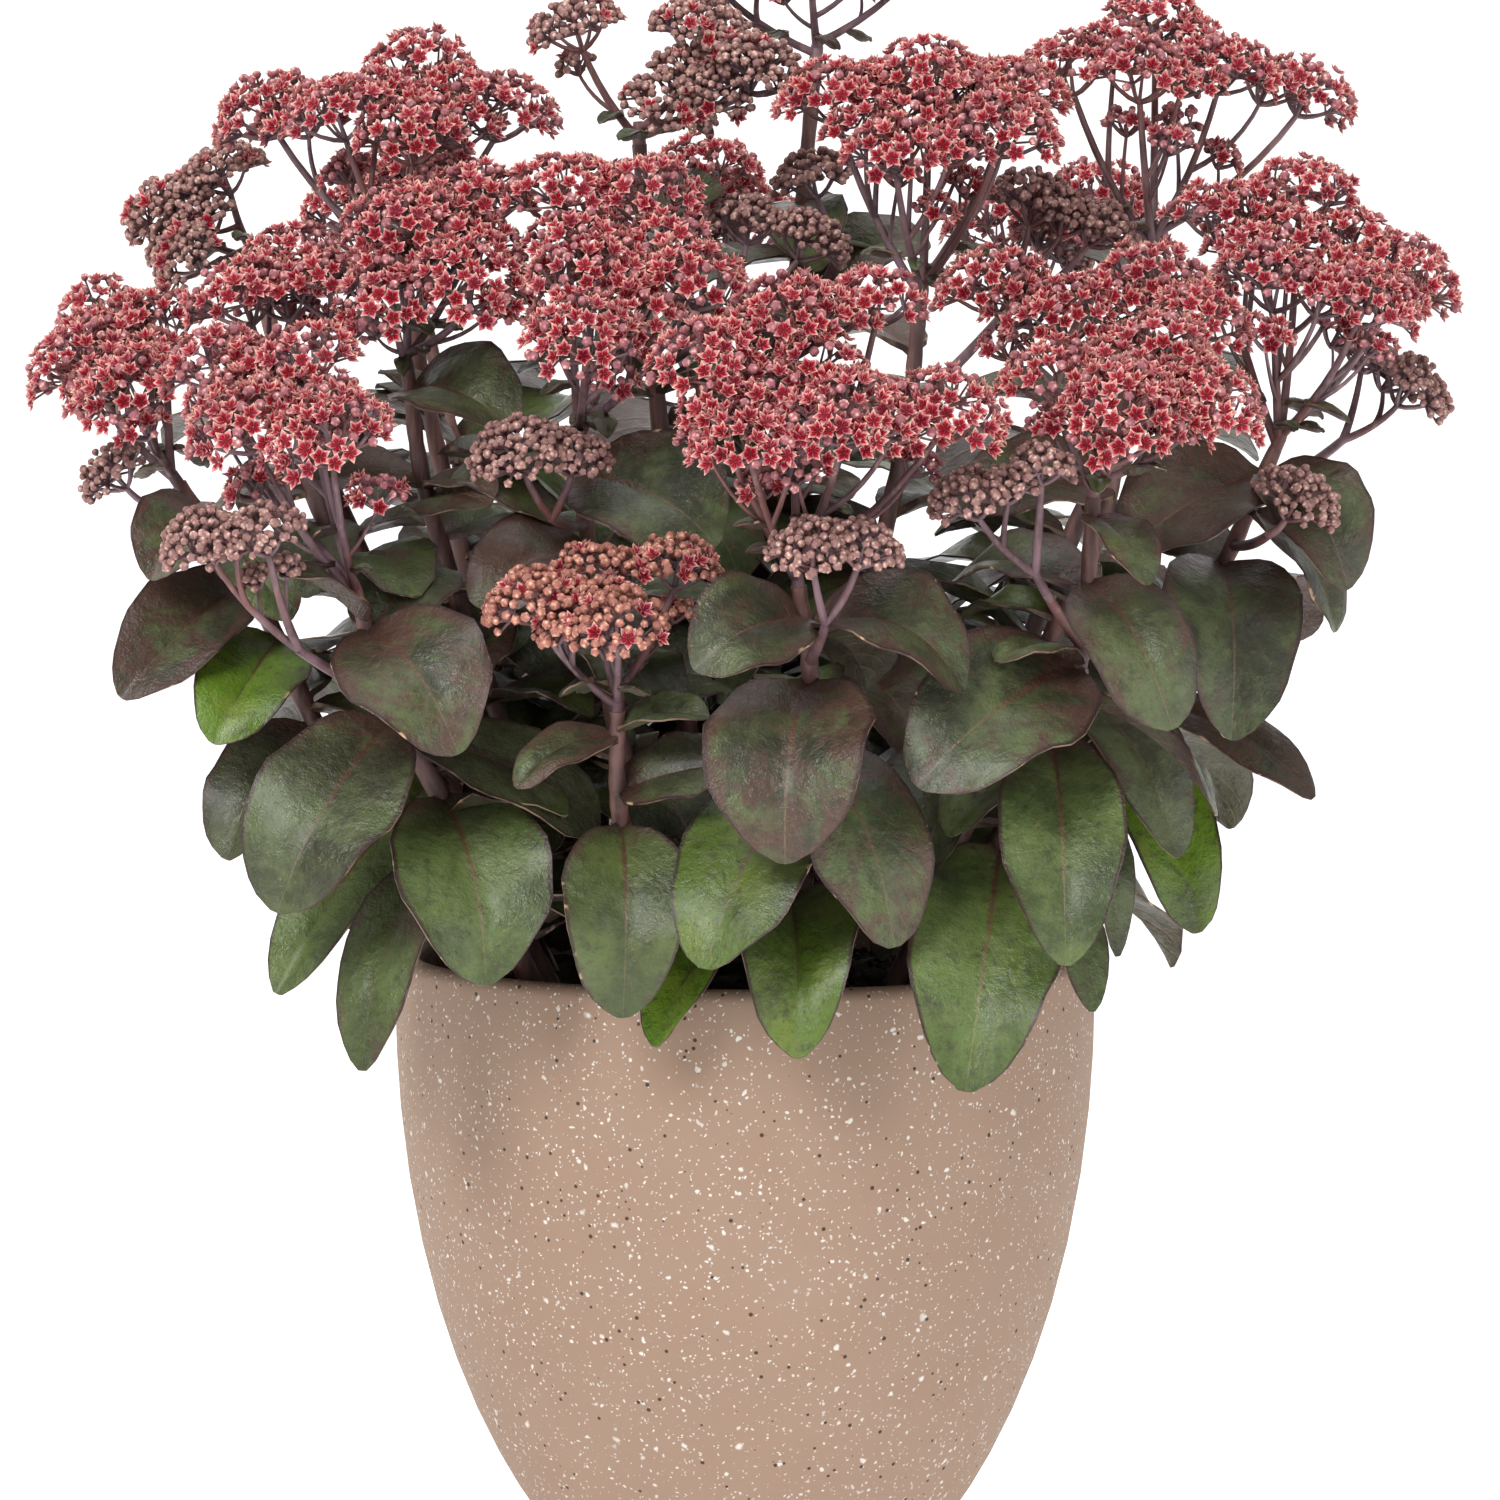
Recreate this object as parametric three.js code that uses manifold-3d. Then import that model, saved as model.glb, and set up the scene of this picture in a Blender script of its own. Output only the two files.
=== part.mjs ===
// A dark-leaved stonecrop in a rounded stone-look pot. Millimetres, +Z up.
// The origin is the centre of the pot's flat foot, and -Y is the side that faces the viewer.
import * as THREE from "three";
import { mergeVertices } from "three/addons/utils/BufferGeometryUtils.js";
import Module from "manifold-3d";

const wasm = await Module();
wasm.setup();

// Pot: upright from the lip down to the height wide, then drawn in along an ellipse of height bow to a flat
// foot. rings are the heights of the rings of faces outside, and cove rounds the floor into the wall.
const pot = { rim: 125, height: 218, wide: 200, bow: 230, wall: 9, floor: 14, cove: 8, bevel: 1, sides: 26 };
pot.rings = [5, 26, 54, 92, 144, 209];

// Soil: heaped up by crown in the middle, with a gap to the pot's floor and wall.
const soil = { level: 204, crown: 6, gap: 0.4 };

// Plant: how thick its pieces are. A stem goes down into the soil by depth.
const stemSize = { foot: 4.8, top: 3.3, sides: 4, steps: 4, depth: 18 };
const shootSize = { radius: 2.2, sides: 4 };
const collar = { length: 8, taper: 0.9 };
const branchRadius = { fork: 1.5, hub: 1.4 };
const leafThickness = 2.2;

// Leaf: its cup and the wave of its edge are shares of its half width. A leaf narrower than broad, or one of
// the lower pairs, has the plain steps along its length.
const leafShape = { neck: 0.13, neckEnd: 0.15, cup: 0.16, wave: 0.05, broad: 38 };
leafShape.steps = [0, 0.1, 0.34, 0.66, 0.91];
leafShape.plainSteps = [0, 0.1, 0.42, 0.84];

// Lobe of a head, in shares of its radius: the hub below the centre, the top floret above it, the reach and
// drop of the side florets, and the size of a floret. A lobe under the radius broad has one floret less.
const lobeShape = { hub: 0.75, top: 0.36, reach: 0.78, drop: 0.2, star: 0.42, bud: 0.38, broad: 17.5 };
const hubShape = { rise: 2.6, flare: 1.3, lean: 0.6, splay: 0.35 };
const starShape = { petals: 5, lift: 0.34, notch: 0.52 };
const budShape = { sides: 4, point: 0.85 };

// Gaps round a stem in the soil, between a stem and what it carries, and between a leaf and what is near it.
const socketGap = 0.4;
const jointGap = 0.35;
const leafGap = 0.9;

// Corners closer together than this, left by the joining of two solids, become one.
const weld = 0.05;

// Each stem: the foot on the soil, the points that it bends through, the fork under its head, and its leaves.
// A leaf is its height on the stem, its tip, its width, how far its face is rolled to the front and its arch.
// whorls are the lower leaves, in crossed pairs: height of the lowest, number of pairs, heading of the first.
const stems = [
  {
    name: "front_left", foot: [-62, -58],
    via: [[-104, -98, 281], [-121, -112, 311]], fork: [-131, -119, 350],
    leaves: [
      { at: 281, tip: [-87, -146, 224], wide: 54, roll: 10, arch: 0.16 },
      { at: 309, tip: [-158, -152, 250], wide: 52, roll: 25, arch: 0.12 },
      { at: 340, tip: [-96, -156, 303], wide: 52, roll: 30, arch: 0.16 },
      { at: 266, tip: [-131, -142, 195], wide: 34, roll: 0, arch: 0.14 },
      { at: 303, tip: [-50, -108, 272], wide: 40, roll: 35, arch: 0.1 },
      { at: 336, tip: [-104, -84, 362], wide: 36, roll: 20, arch: 0.16 },
      { at: 343, tip: [-150, -142, 372], wide: 18, roll: 20, arch: 0.1 },
    ],
    whorls: { from: 232, pairs: 0, heading: 200 },
  },
  {
    name: "left", foot: [-82, -14], via: [[-146, -25, 290], [-172, -28, 346]], fork: [-199, -30, 386],
    leaves: [
      { at: 378, tip: [-206, -66, 354], wide: 30, roll: 20, arch: 0.2 },
      { at: 352, tip: [-216, -72, 314], wide: 38, roll: 35, arch: 0.1 },
      { at: 330, tip: [-184, -74, 298], wide: 38, roll: 20, arch: 0.16 },
      { at: 300, tip: [-181, -58, 256], wide: 36, roll: 15, arch: 0.14 },
      { at: 366, tip: [-158, -66, 340], wide: 28, roll: 20, arch: 0.15 },
      { at: 345, tip: [-196, 22, 322], wide: 36, roll: 0, arch: 0.16 },
      { at: 308, tip: [-177, 41, 282], wide: 38, roll: 0, arch: 0.16 },
    ],
    whorls: { from: 246, pairs: 1, heading: 255 },
  },
  {
    name: "left_inner", foot: [-58, -32], via: [[-112, -56, 300], [-146, -72, 376]], fork: [-154, -76, 408],
    leaves: [
      { at: 286, tip: [-160, -112, 216], wide: 36, roll: 25, arch: 0.1 },
      { at: 372, tip: [-150, -112, 352], wide: 30, roll: 0, arch: 0.2 },
      { at: 384, tip: [-186, -52, 372], wide: 30, roll: 25, arch: 0.14 },
    ],
    whorls: { from: 262, pairs: 1, heading: 150 },
  },
  {
    name: "far_left", foot: [-62, 24], via: [[-128, 48, 330], [-166, 56, 420]], fork: [-178, 60, 462],
    leaves: [
      { at: 380, tip: [-176, 4, 372], wide: 34, roll: 0, arch: 0.16 },
      { at: 350, tip: [-186, 78, 336], wide: 38, roll: 0, arch: 0.16 },
    ],
    whorls: { from: 254, pairs: 3, heading: 230 },
  },
  {
    name: "upper_left", foot: [-34, 12], via: [[-84, 8, 300], [-108, 4, 390]], fork: [-122, 2, 462],
    leaves: [
      { at: 408, tip: [-160, 20, 400], wide: 34, roll: 0, arch: 0.16 },
      { at: 356, tip: [-92, 62, 350], wide: 38, roll: 0, arch: 0.16 },
    ],
    whorls: { from: 306, pairs: 2, heading: 320 },
  },
  {
    name: "middle_left", foot: [-38, -30], via: [[-84, -46, 300], [-110, -54, 380]], fork: [-117, -58, 426],
    leaves: [
      { at: 418, tip: [-80, -96, 410], wide: 42, roll: 30, arch: 0.16 },
      { at: 386, tip: [-160, -66, 384], wide: 30, roll: 25, arch: 0.12 },
      { at: 380, tip: [-88, -88, 382], wide: 34, roll: 30, arch: 0.12 },
      { at: 336, tip: [-98, -96, 318], wide: 40, roll: 0, arch: 0.16 },
    ],
    whorls: { from: 282, pairs: 1, heading: 340 },
  },
  {
    name: "centre_left", foot: [-18, -44], via: [[-44, -64, 300], [-54, -72, 366]], fork: [-57, -76, 400],
    leaves: [
      { at: 391, tip: [-10, -104, 370], wide: 52, roll: 40, arch: 0.12 },
      { at: 364, tip: [-92, -112, 350], wide: 42, roll: 30, arch: 0.18 },
      { at: 384, tip: [-84, -36, 396], wide: 36, roll: 0, arch: 0.2 },
      { at: 330, tip: [-30, -114, 312], wide: 36, roll: 0, arch: 0.16 },
    ],
    whorls: { from: 290, pairs: 1, heading: 45 },
  },
  {
    name: "low_front", foot: [-26, -72], via: [[-38, -108, 250], [-43, -124, 284]], fork: [-43, -130, 314],
    leaves: [
      { at: 274, tip: [-41, -154, 213], wide: 44, roll: 0, arch: 0.2 },
      { at: 285, tip: [-3, -134, 296], wide: 30, roll: 45, arch: 0.08 },
      { at: 304, tip: [-77, -150, 290], wide: 22, roll: 25, arch: 0.16 },
      { at: 307, tip: [-12, -146, 313], wide: 19, roll: 30, arch: 0.1 },
    ],
    whorls: { from: 228, pairs: 0, heading: 60 },
  },
  {
    name: "centre_front", foot: [10, -64], via: [[18, -108, 276], [22, -132, 324]], fork: [18, -140, 357],
    leaves: [
      { at: 323, tip: [13, -176, 268], wide: 57, roll: 0, arch: 0.2 },
      { at: 345, tip: [-17, -166, 331], wide: 40, roll: 40, arch: 0.2 },
      { at: 341, tip: [70, -160, 322], wide: 44, roll: 30, arch: 0.3 },
      { at: 284, tip: [-9, -160, 222], wide: 50, roll: 10, arch: 0.16 },
      { at: 246, tip: [18, -158, 200], wide: 42, roll: 0, arch: 0.22 },
      { at: 303, tip: [51, -158, 238], wide: 47, roll: 10, arch: 0.16 },
      { at: 234, tip: [-30, -140, 200], wide: 32, roll: 0, arch: 0.2 },
      { at: 289, tip: [-33, -114, 240], wide: 26, roll: 0, arch: 0.14 },
      { at: 338, tip: [42, -86, 318], wide: 38, roll: 0, arch: 0.18 },
    ],
    whorls: { from: 228, pairs: 0, heading: 110 },
  },
  {
    name: "right_front", foot: [54, -58], via: [[100, -96, 290], [114, -114, 330]], fork: [118, -120, 386],
    leaves: [
      { at: 327, tip: [58, -158, 291], wide: 56, roll: 40, arch: 0.14 },
      { at: 356, tip: [143, -158, 312], wide: 38, roll: 25, arch: 0.18 },
      { at: 302, tip: [107, -164, 231], wide: 43, roll: 0, arch: 0.14 },
      { at: 262, tip: [74, -164, 190], wide: 52, roll: 10, arch: 0.16 },
      { at: 258, tip: [119, -128, 213], wide: 26, roll: 0, arch: 0.16 },
      { at: 318, tip: [161, -138, 282], wide: 26, roll: -20, arch: 0.1 },
      { at: 378, tip: [135, -152, 360], wide: 24, roll: 0, arch: 0.14 },
      { at: 352, tip: [72, -92, 358], wide: 34, roll: 20, arch: 0.16 },
    ],
    whorls: { from: 226, pairs: 0, heading: 30 },
  },
  {
    name: "middle_right", foot: [44, -22], via: [[92, -38, 300], [120, -46, 360]], fork: [131, -52, 398],
    leaves: [
      { at: 384, tip: [72, -72, 378], wide: 42, roll: 34, arch: 0.16 },
      { at: 300, tip: [64, -106, 246], wide: 40, roll: 0, arch: 0.14 },
      { at: 320, tip: [150, -96, 264], wide: 36, roll: 15, arch: 0.16 },
      { at: 290, tip: [131, -88, 229], wide: 22, roll: 0, arch: 0.2 },
      { at: 372, tip: [152, -6, 362], wide: 38, roll: 0, arch: 0.2 },
    ],
    whorls: { from: 250, pairs: 1, heading: 10 },
  },
  {
    name: "right", foot: [78, -14], via: [[130, -20, 290], [166, -24, 352]], fork: [187, -22, 398],
    leaves: [
      { at: 356, tip: [168, -88, 303], wide: 50, roll: 10, arch: 0.2 },
      { at: 388, tip: [130, -58, 370], wide: 46, roll: 36, arch: 0.12 },
      { at: 388, tip: [206, -62, 358], wide: 38, roll: 25, arch: 0.24 },
      { at: 376, tip: [208, -30, 334], wide: 34, roll: 20, arch: 0.16 },
      { at: 308, tip: [199, -50, 277], wide: 28, roll: 25, arch: 0.12 },
      { at: 296, tip: [157, -76, 233], wide: 34, roll: 10, arch: 0.14 },
      { at: 302, tip: [176, 22, 262], wide: 36, roll: 0, arch: 0.14 },
      { at: 350, tip: [200, 32, 330], wide: 40, roll: 0, arch: 0.16 },
    ],
    whorls: { from: 246, pairs: 1, heading: 110 },
  },
  {
    name: "upper_middle", foot: [20, -2], via: [[40, -8, 320], [56, -14, 400]], fork: [62, -18, 450],
    leaves: [
      { at: 430, tip: [24, 26, 436], wide: 36, roll: 0, arch: 0.16 },
      { at: 402, tip: [22, -62, 396], wide: 38, roll: 25, arch: 0.18 },
      { at: 372, tip: [88, 32, 366], wide: 38, roll: 0, arch: 0.16 },
    ],
    whorls: { from: 316, pairs: 2, heading: 20 },
  },
  {
    name: "upper_right", foot: [50, 28], via: [[104, 34, 330], [136, 34, 410]], fork: [146, 34, 466],
    leaves: [
      { at: 424, tip: [182, 58, 420], wide: 36, roll: 0, arch: 0.16 },
      { at: 452, tip: [120, 72, 462], wide: 30, roll: 0, arch: 0.16 },
    ],
    whorls: { from: 284, pairs: 3, heading: 78 },
  },
  {
    name: "top_left", foot: [-12, 30], via: [[-24, 40, 330], [-34, 40, 440]], fork: [-38, 38, 505],
    leaves: [
      { at: 470, tip: [-8, 12, 488], wide: 30, roll: 50, arch: 0.12 },
      { at: 420, tip: [-82, 46, 424], wide: 36, roll: 0, arch: 0.16 },
    ],
    whorls: { from: 332, pairs: 2, heading: 350 },
  },
  {
    name: "top_back", foot: [6, 46], via: [[14, 74, 380], [20, 84, 470]], fork: [26, 88, 536],
    leaves: [
      { at: 452, tip: [62, 60, 470], wide: 34, roll: 40, arch: 0.12 },
      { at: 400, tip: [-26, 110, 396], wide: 38, roll: 0, arch: 0.16 },
    ],
    whorls: { from: 336, pairs: 2, heading: 120 },
  },
  {
    name: "back_left", foot: [-52, 58], via: [[-92, 100, 330]], fork: [-120, 134, 440],
    leaves: [
      { at: 404, tip: [-160, 166, 378], wide: 46, roll: 0, arch: 0.18 },
      { at: 420, tip: [-78, 172, 400], wide: 42, roll: 0, arch: 0.18 },
    ],
    whorls: { from: 262, pairs: 3, heading: 170 },
  },
  {
    name: "back", foot: [-2, 76], via: [[-10, 130, 330]], fork: [-16, 160, 436],
    leaves: [
      { at: 400, tip: [-54, 208, 374], wide: 46, roll: 0, arch: 0.18 },
      { at: 416, tip: [28, 200, 394], wide: 44, roll: 0, arch: 0.18 },
    ],
    whorls: { from: 258, pairs: 3, heading: 200 },
  },
  {
    name: "back_right", foot: [56, 58], via: [[96, 102, 330]], fork: [122, 134, 430],
    leaves: [
      { at: 394, tip: [84, 184, 370], wide: 44, roll: 0, arch: 0.18 },
      { at: 410, tip: [170, 158, 388], wide: 44, roll: 0, arch: 0.18 },
    ],
    whorls: { from: 262, pairs: 3, heading: 215 },
  },
];

// Flower heads: the stem that each stands on, and its lobes as centre and radius. Open stars, or closed buds.
const heads = [
  {
    stem: "front_left", open: true,
    lobes: [[-170, -138, 415, 19], [-141, -152, 412, 20], [-152, -116, 435, 18], [-184, -104, 434, 16]],
  },
  {
    stem: "left", open: true,
    lobes: [[-236, -20, 432, 19], [-215, -52, 424, 19], [-208, -8, 446, 17], [-234, 20, 450, 13]],
  },
  {
    stem: "left_inner", open: true,
    lobes: [[-176, -62, 456, 18], [-144, -62, 460, 19], [-160, -34, 470, 15]],
  },
  {
    stem: "far_left", open: false,
    lobes: [[-214, 58, 484, 14], [-190, 52, 498, 14], [-204, 40, 466, 13]],
  },
  {
    stem: "upper_left", open: true,
    lobes: [
      [-174, 24, 520, 18], [-146, -4, 520, 18], [-118, -14, 512, 18],
      [-118, 30, 537, 17], [-86, 10, 521, 19],
    ],
  },
  {
    stem: "middle_left", open: true,
    lobes: [[-118, -74, 482, 19], [-122, -96, 456, 17], [-90, -58, 490, 17], [-92, -98, 462, 20]],
  },
  {
    stem: "centre_left", open: true,
    lobes: [
      [-62, -80, 492, 20], [-34, -82, 492, 18], [-52, -114, 464, 20],
      [-54, -140, 444, 18], [-16, -116, 462, 18],
    ],
  },
  {
    stem: "low_front", open: false,
    lobes: [[-74, -144, 355, 14], [-43, -156, 348, 15], [-54, -132, 366, 11], [-22, -124, 366, 14]],
  },
  {
    stem: "centre_front", open: true,
    lobes: [
      [-14, -164, 437, 18], [0, -184, 412, 17], [16, -150, 452, 19],
      [34, -180, 420, 20], [46, -140, 456, 15], [70, -162, 420, 18],
    ],
  },
  {
    stem: "right_front", open: true,
    lobes: [[104, -138, 430, 17], [130, -154, 420, 20], [160, -136, 422, 17], [144, -116, 440, 16]],
  },
  {
    stem: "middle_right", open: true,
    lobes: [[84, -50, 460, 18], [110, -66, 450, 18], [144, -52, 462, 18], [160, -82, 448, 15]],
  },
  {
    stem: "right", open: true,
    lobes: [
      [168, -6, 484, 17], [188, -34, 462, 20], [200, 4, 492, 17],
      [220, -42, 454, 17], [236, -10, 462, 19],
    ],
  },
  {
    stem: "upper_middle", open: true,
    lobes: [
      [30, -26, 526, 18], [52, -56, 506, 16], [66, -20, 532, 20],
      [92, -42, 514, 18], [98, -8, 528, 16],
    ],
  },
  {
    stem: "upper_right", open: true,
    lobes: [
      [116, 24, 536, 17], [142, 12, 534, 18], [150, 50, 554, 16],
      [174, 30, 536, 17], [206, 42, 526, 16],
    ],
  },
  {
    stem: "top_left", open: false,
    lobes: [[-62, 28, 550, 15], [-26, 14, 522, 15], [-14, 30, 548, 17], [8, 14, 534, 16]],
  },
  {
    stem: "top_back", open: true,
    lobes: [[-18, 78, 576, 17], [24, 70, 578, 17], [70, 86, 582, 17]],
  },
  {
    stem: "back_left", open: true,
    lobes: [[-148, 150, 486, 20], [-112, 166, 488, 20], [-122, 122, 502, 18]],
  },
  {
    stem: "back", open: true,
    lobes: [[-38, 176, 482, 20], [2, 186, 480, 20], [-14, 146, 500, 18]],
  },
  {
    stem: "back_right", open: true,
    lobes: [[96, 152, 478, 20], [140, 164, 474, 20], [134, 122, 490, 18]],
  },
];

// Side shoots with tight buds: the stem and height that each leaves from, a bend, and its lobes.
const shoots = [
  {
    name: "front_left_shoot", stem: "front_left", at: 319, bend: [-150, -146, 336],
    lobes: [[-184, -152, 376, 13], [-162, -158, 378, 13]],
  },
  {
    name: "left_shoot", stem: "left", at: 363, bend: [-206, -20, 376],
    lobes: [[-224, -24, 392, 12]],
  },
  {
    name: "centre_left_shoot", stem: "centre_left", at: 374, bend: [-66, -104, 378],
    lobes: [[-78, -118, 404, 15], [-58, -112, 402, 12]],
  },
  {
    name: "centre_front_shoot", stem: "centre_front", at: 331, bend: [27, -164, 346],
    lobes: [[22, -178, 374, 13], [40, -170, 374, 12]],
  },
  {
    name: "right_front_shoot", stem: "right_front", at: 335, bend: [97, -150, 362],
    lobes: [[75, -154, 390, 13], [100, -152, 400, 10]],
  },
  {
    name: "right_shoot", stem: "right", at: 364, bend: [182, -62, 370],
    lobes: [[193, -66, 385, 14]],
  },
  {
    name: "far_right_shoot", stem: "right", at: 381, bend: [214, 12, 400],
    lobes: [[240, 8, 421, 14], [224, 24, 432, 11]],
  },
  {
    name: "upper_middle_shoot", stem: "upper_middle", at: 412, bend: [92, 5, 445],
    lobes: [[104, 8, 488, 15], [128, 8, 478, 13]],
  },
  {
    name: "top_left_shoot", stem: "top_left", at: 424, bend: [-6, 18, 444],
    lobes: [[2, 20, 480, 13], [24, 18, 474, 14]],
  },
  {
    name: "top_back_shoot", stem: "top_back", at: 430, bend: [36, 60, 470],
    lobes: [[24, 56, 496, 13]],
  },
];

// The ways a leaf may bend to stay clear: lift and turn in degrees, and share of its full length.
const bends = [
  [0, 0, 1], [8, 0, 1], [-8, 0, 1], [0, 10, 1], [0, -10, 1], [15, 0, 1], [-15, 0, 1], [8, 12, 1],
  [8, -12, 1], [-8, 12, 1], [-8, -12, 1], [0, 22, 1], [0, -22, 1], [24, 0, 0.95], [-24, 0, 0.95],
  [0, 0, 0.85], [14, 14, 0.85], [14, -14, 0.85], [-14, 14, 0.85], [-14, -14, 0.85],
  [0, 30, 0.8], [0, -30, 0.8], [30, 10, 0.75], [30, -10, 0.75],
];

// A leaf of the lower pairs. Each takes its heading, its fall and its length a little off the others.
const whorlLeaf = { long: 66, wide: 42, roll: 12, fall: 24, rise: 35, arch: 0.16 };
const whorlSpread = { heading: 14, fall: 14, shortest: 0.85, longer: 0.25 };

const up = new THREE.Vector3(0, 0, 1);
const vec = (p) => new THREE.Vector3(...p);
const degrees = THREE.MathUtils.degToRad;

// A number from 0 to 1 that looks random and is the same every time.
function scatter(i, j = 0) {
  const s = Math.sin(i * 12.9898 + j * 78.233) * 43758.5453;
  return s - Math.floor(s);
}

// A closed surface that is put together from loops of points.
class Skin {
  points = [];
  faces = [];

  loop(points) {
    return points.map((p) => this.points.push(p) - 1);
  }

  middle(loop) {
    const sum = new THREE.Vector3();
    loop.forEach((i) => sum.add(this.points[i]));
    return sum.divideScalar(loop.length);
  }

  // Joins two loops that run the same way round, with the same number of points or not. The first point of
  // the lower one is joined to the upper point that lies in the same direction from its loop's middle.
  bridge(lower, upper) {
    const towards = this.points[lower[0]].clone().sub(this.middle(lower));
    const centre = this.middle(upper);
    const turns = upper.map((u) => this.points[u].clone().sub(centre).normalize().dot(towards));
    const start = turns.indexOf(Math.max(...turns));
    const [n, m] = [lower.length, upper.length];
    let [i, j] = [0, 0];
    while (i < n || j < m) {
      const a = lower[i % n];
      const b = upper[(start + j) % m];
      if (i === n || (j < m && (j + 0.5) / m < (i + 0.5) / n)) {
        this.faces.push(a, upper[(start + j + 1) % m], b);
        j += 1;
      } else {
        this.faces.push(a, lower[(i + 1) % n], b);
        i += 1;
      }
    }
  }

  // Closes a loop with triangles that face the side from which it runs counter-clockwise.
  cap(loop) {
    for (let i = 1; i + 1 < loop.length; i++) this.faces.push(loop[0], loop[i], loop[i + 1]);
  }

  fan(loop, point) {
    const [tip] = this.loop([point]);
    loop.forEach((a, i) => this.faces.push(a, loop[(i + 1) % loop.length], tip));
  }

  solid() {
    const geometry = new THREE.BufferGeometry().setFromPoints(this.points);
    return solidOf(geometry.setIndex(this.faces));
  }
}

function solidOf(geometry) {
  const shape = geometry.clone();
  shape.deleteAttribute("normal");
  shape.deleteAttribute("uv");
  const merged = mergeVertices(shape, 1e-3);
  return new wasm.Manifold(
    new wasm.Mesh({
      numProp: 3,
      vertProperties: merged.attributes.position.array,
      triVerts: new Uint32Array(merged.index.array),
    }),
  );
}

// Joins solids into one body. A hollow that the joining seals is filled, and a loose scrap is dropped.
function joined(solids) {
  const bodies = wasm.Manifold.union(solids).simplify(weld).decompose();
  return bodies.reduce((most, body) => (body.volume() > most.volume() ? body : most));
}

function geometryOf(solid) {
  const mesh = solid.getMesh();
  const geometry = new THREE.BufferGeometry();
  geometry.setAttribute("position", new THREE.BufferAttribute(mesh.vertProperties, 3));
  geometry.setIndex(new THREE.BufferAttribute(mesh.triVerts, 1));
  geometry.computeVertexNormals();
  return geometry;
}

// A regular ring of points round centre, square to along.
function ring(centre, along, radius, sides, turn = 0) {
  const side = new THREE.Vector3(1, 0, 0).addScaledVector(along, -along.x).normalize();
  const other = new THREE.Vector3().crossVectors(along, side);
  return Array.from({ length: sides }, (_, i) => {
    const a = turn + (2 * Math.PI * i) / sides;
    const sideways = side.clone().multiplyScalar(Math.cos(a)).addScaledVector(other, Math.sin(a));
    return centre.clone().addScaledVector(sideways, radius);
  });
}

function tube(curve, radiusFrom, radiusTo, sides, steps) {
  const skin = new Skin();
  let last = null;
  for (let i = 0; i <= steps; i++) {
    const t = i / steps;
    const radius = THREE.MathUtils.lerp(radiusFrom, radiusTo, t);
    const loop = skin.loop(ring(curve.getPoint(t), curve.getTangent(t), radius, sides));
    if (last) skin.bridge(last, loop);
    else skin.cap([...loop].reverse());
    last = loop;
  }
  skin.cap(last);
  return skin.solid();
}

function stemCurve(stem) {
  const [x, y] = stem.foot;
  const points = [[x, y, soil.level - stemSize.depth], ...stem.via, stem.fork];
  return new THREE.CatmullRomCurve3(points.map(vec), false, "catmullrom", 0.5);
}

function stemTube(curve, extra) {
  return tube(curve, stemSize.foot + extra, stemSize.top + extra, stemSize.sides, stemSize.steps);
}

// The point of a stem's centre line at a height.
function pointAt(curve, height) {
  let [low, high] = [0, 1];
  for (let i = 0; i < 40; i++) {
    const middle = (low + high) / 2;
    if (curve.getPoint(middle).z < height) low = middle;
    else high = middle;
  }
  return curve.getPoint(low);
}

// Half the width of a leaf along its length, as a share of its greatest: a narrow neck, then an egg shape.
function outline(t) {
  if (t < leafShape.neckEnd) return leafShape.neck;
  return Math.sin(Math.PI * (t - 0.04) ** 0.86) ** 0.6;
}

// A leaf's midrib, side and face directions after a bend.
function leafFrame(root, leaf, [lift, turn, share]) {
  const chord = vec(leaf.tip).sub(root).multiplyScalar(share);
  const side = new THREE.Vector3().crossVectors(new THREE.Vector3(chord.x, chord.y, 0), up).normalize();
  chord.applyAxisAngle(side, degrees(lift)).applyAxisAngle(up, degrees(turn));
  const roll = degrees(leaf.roll) * Math.sign(chord.x);
  side.applyAxisAngle(up, degrees(turn)).applyAxisAngle(chord.clone().normalize(), roll);
  const face = new THREE.Vector3().crossVectors(side, chord).normalize();
  return { chord, side, face };
}

// Joins two sections of a blade. The creases run alike above and below, so that the two faces never cross.
function bladeSides(skin, low, high) {
  const put = (...face) => skin.faces.push(...face);
  put(low.left, high.ridge, high.left);
  put(low.right, high.right, high.ridge);
  put(low.left, high.left, high.keel);
  put(low.right, high.keel, high.right);
  put(low.right, low.keel, high.keel);
  put(low.keel, low.left, high.keel);
  if (low.ridge === undefined) {
    put(low.left, low.right, high.ridge);
  } else {
    put(low.left, low.ridge, high.ridge);
    put(low.ridge, low.right, high.ridge);
  }
}

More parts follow.
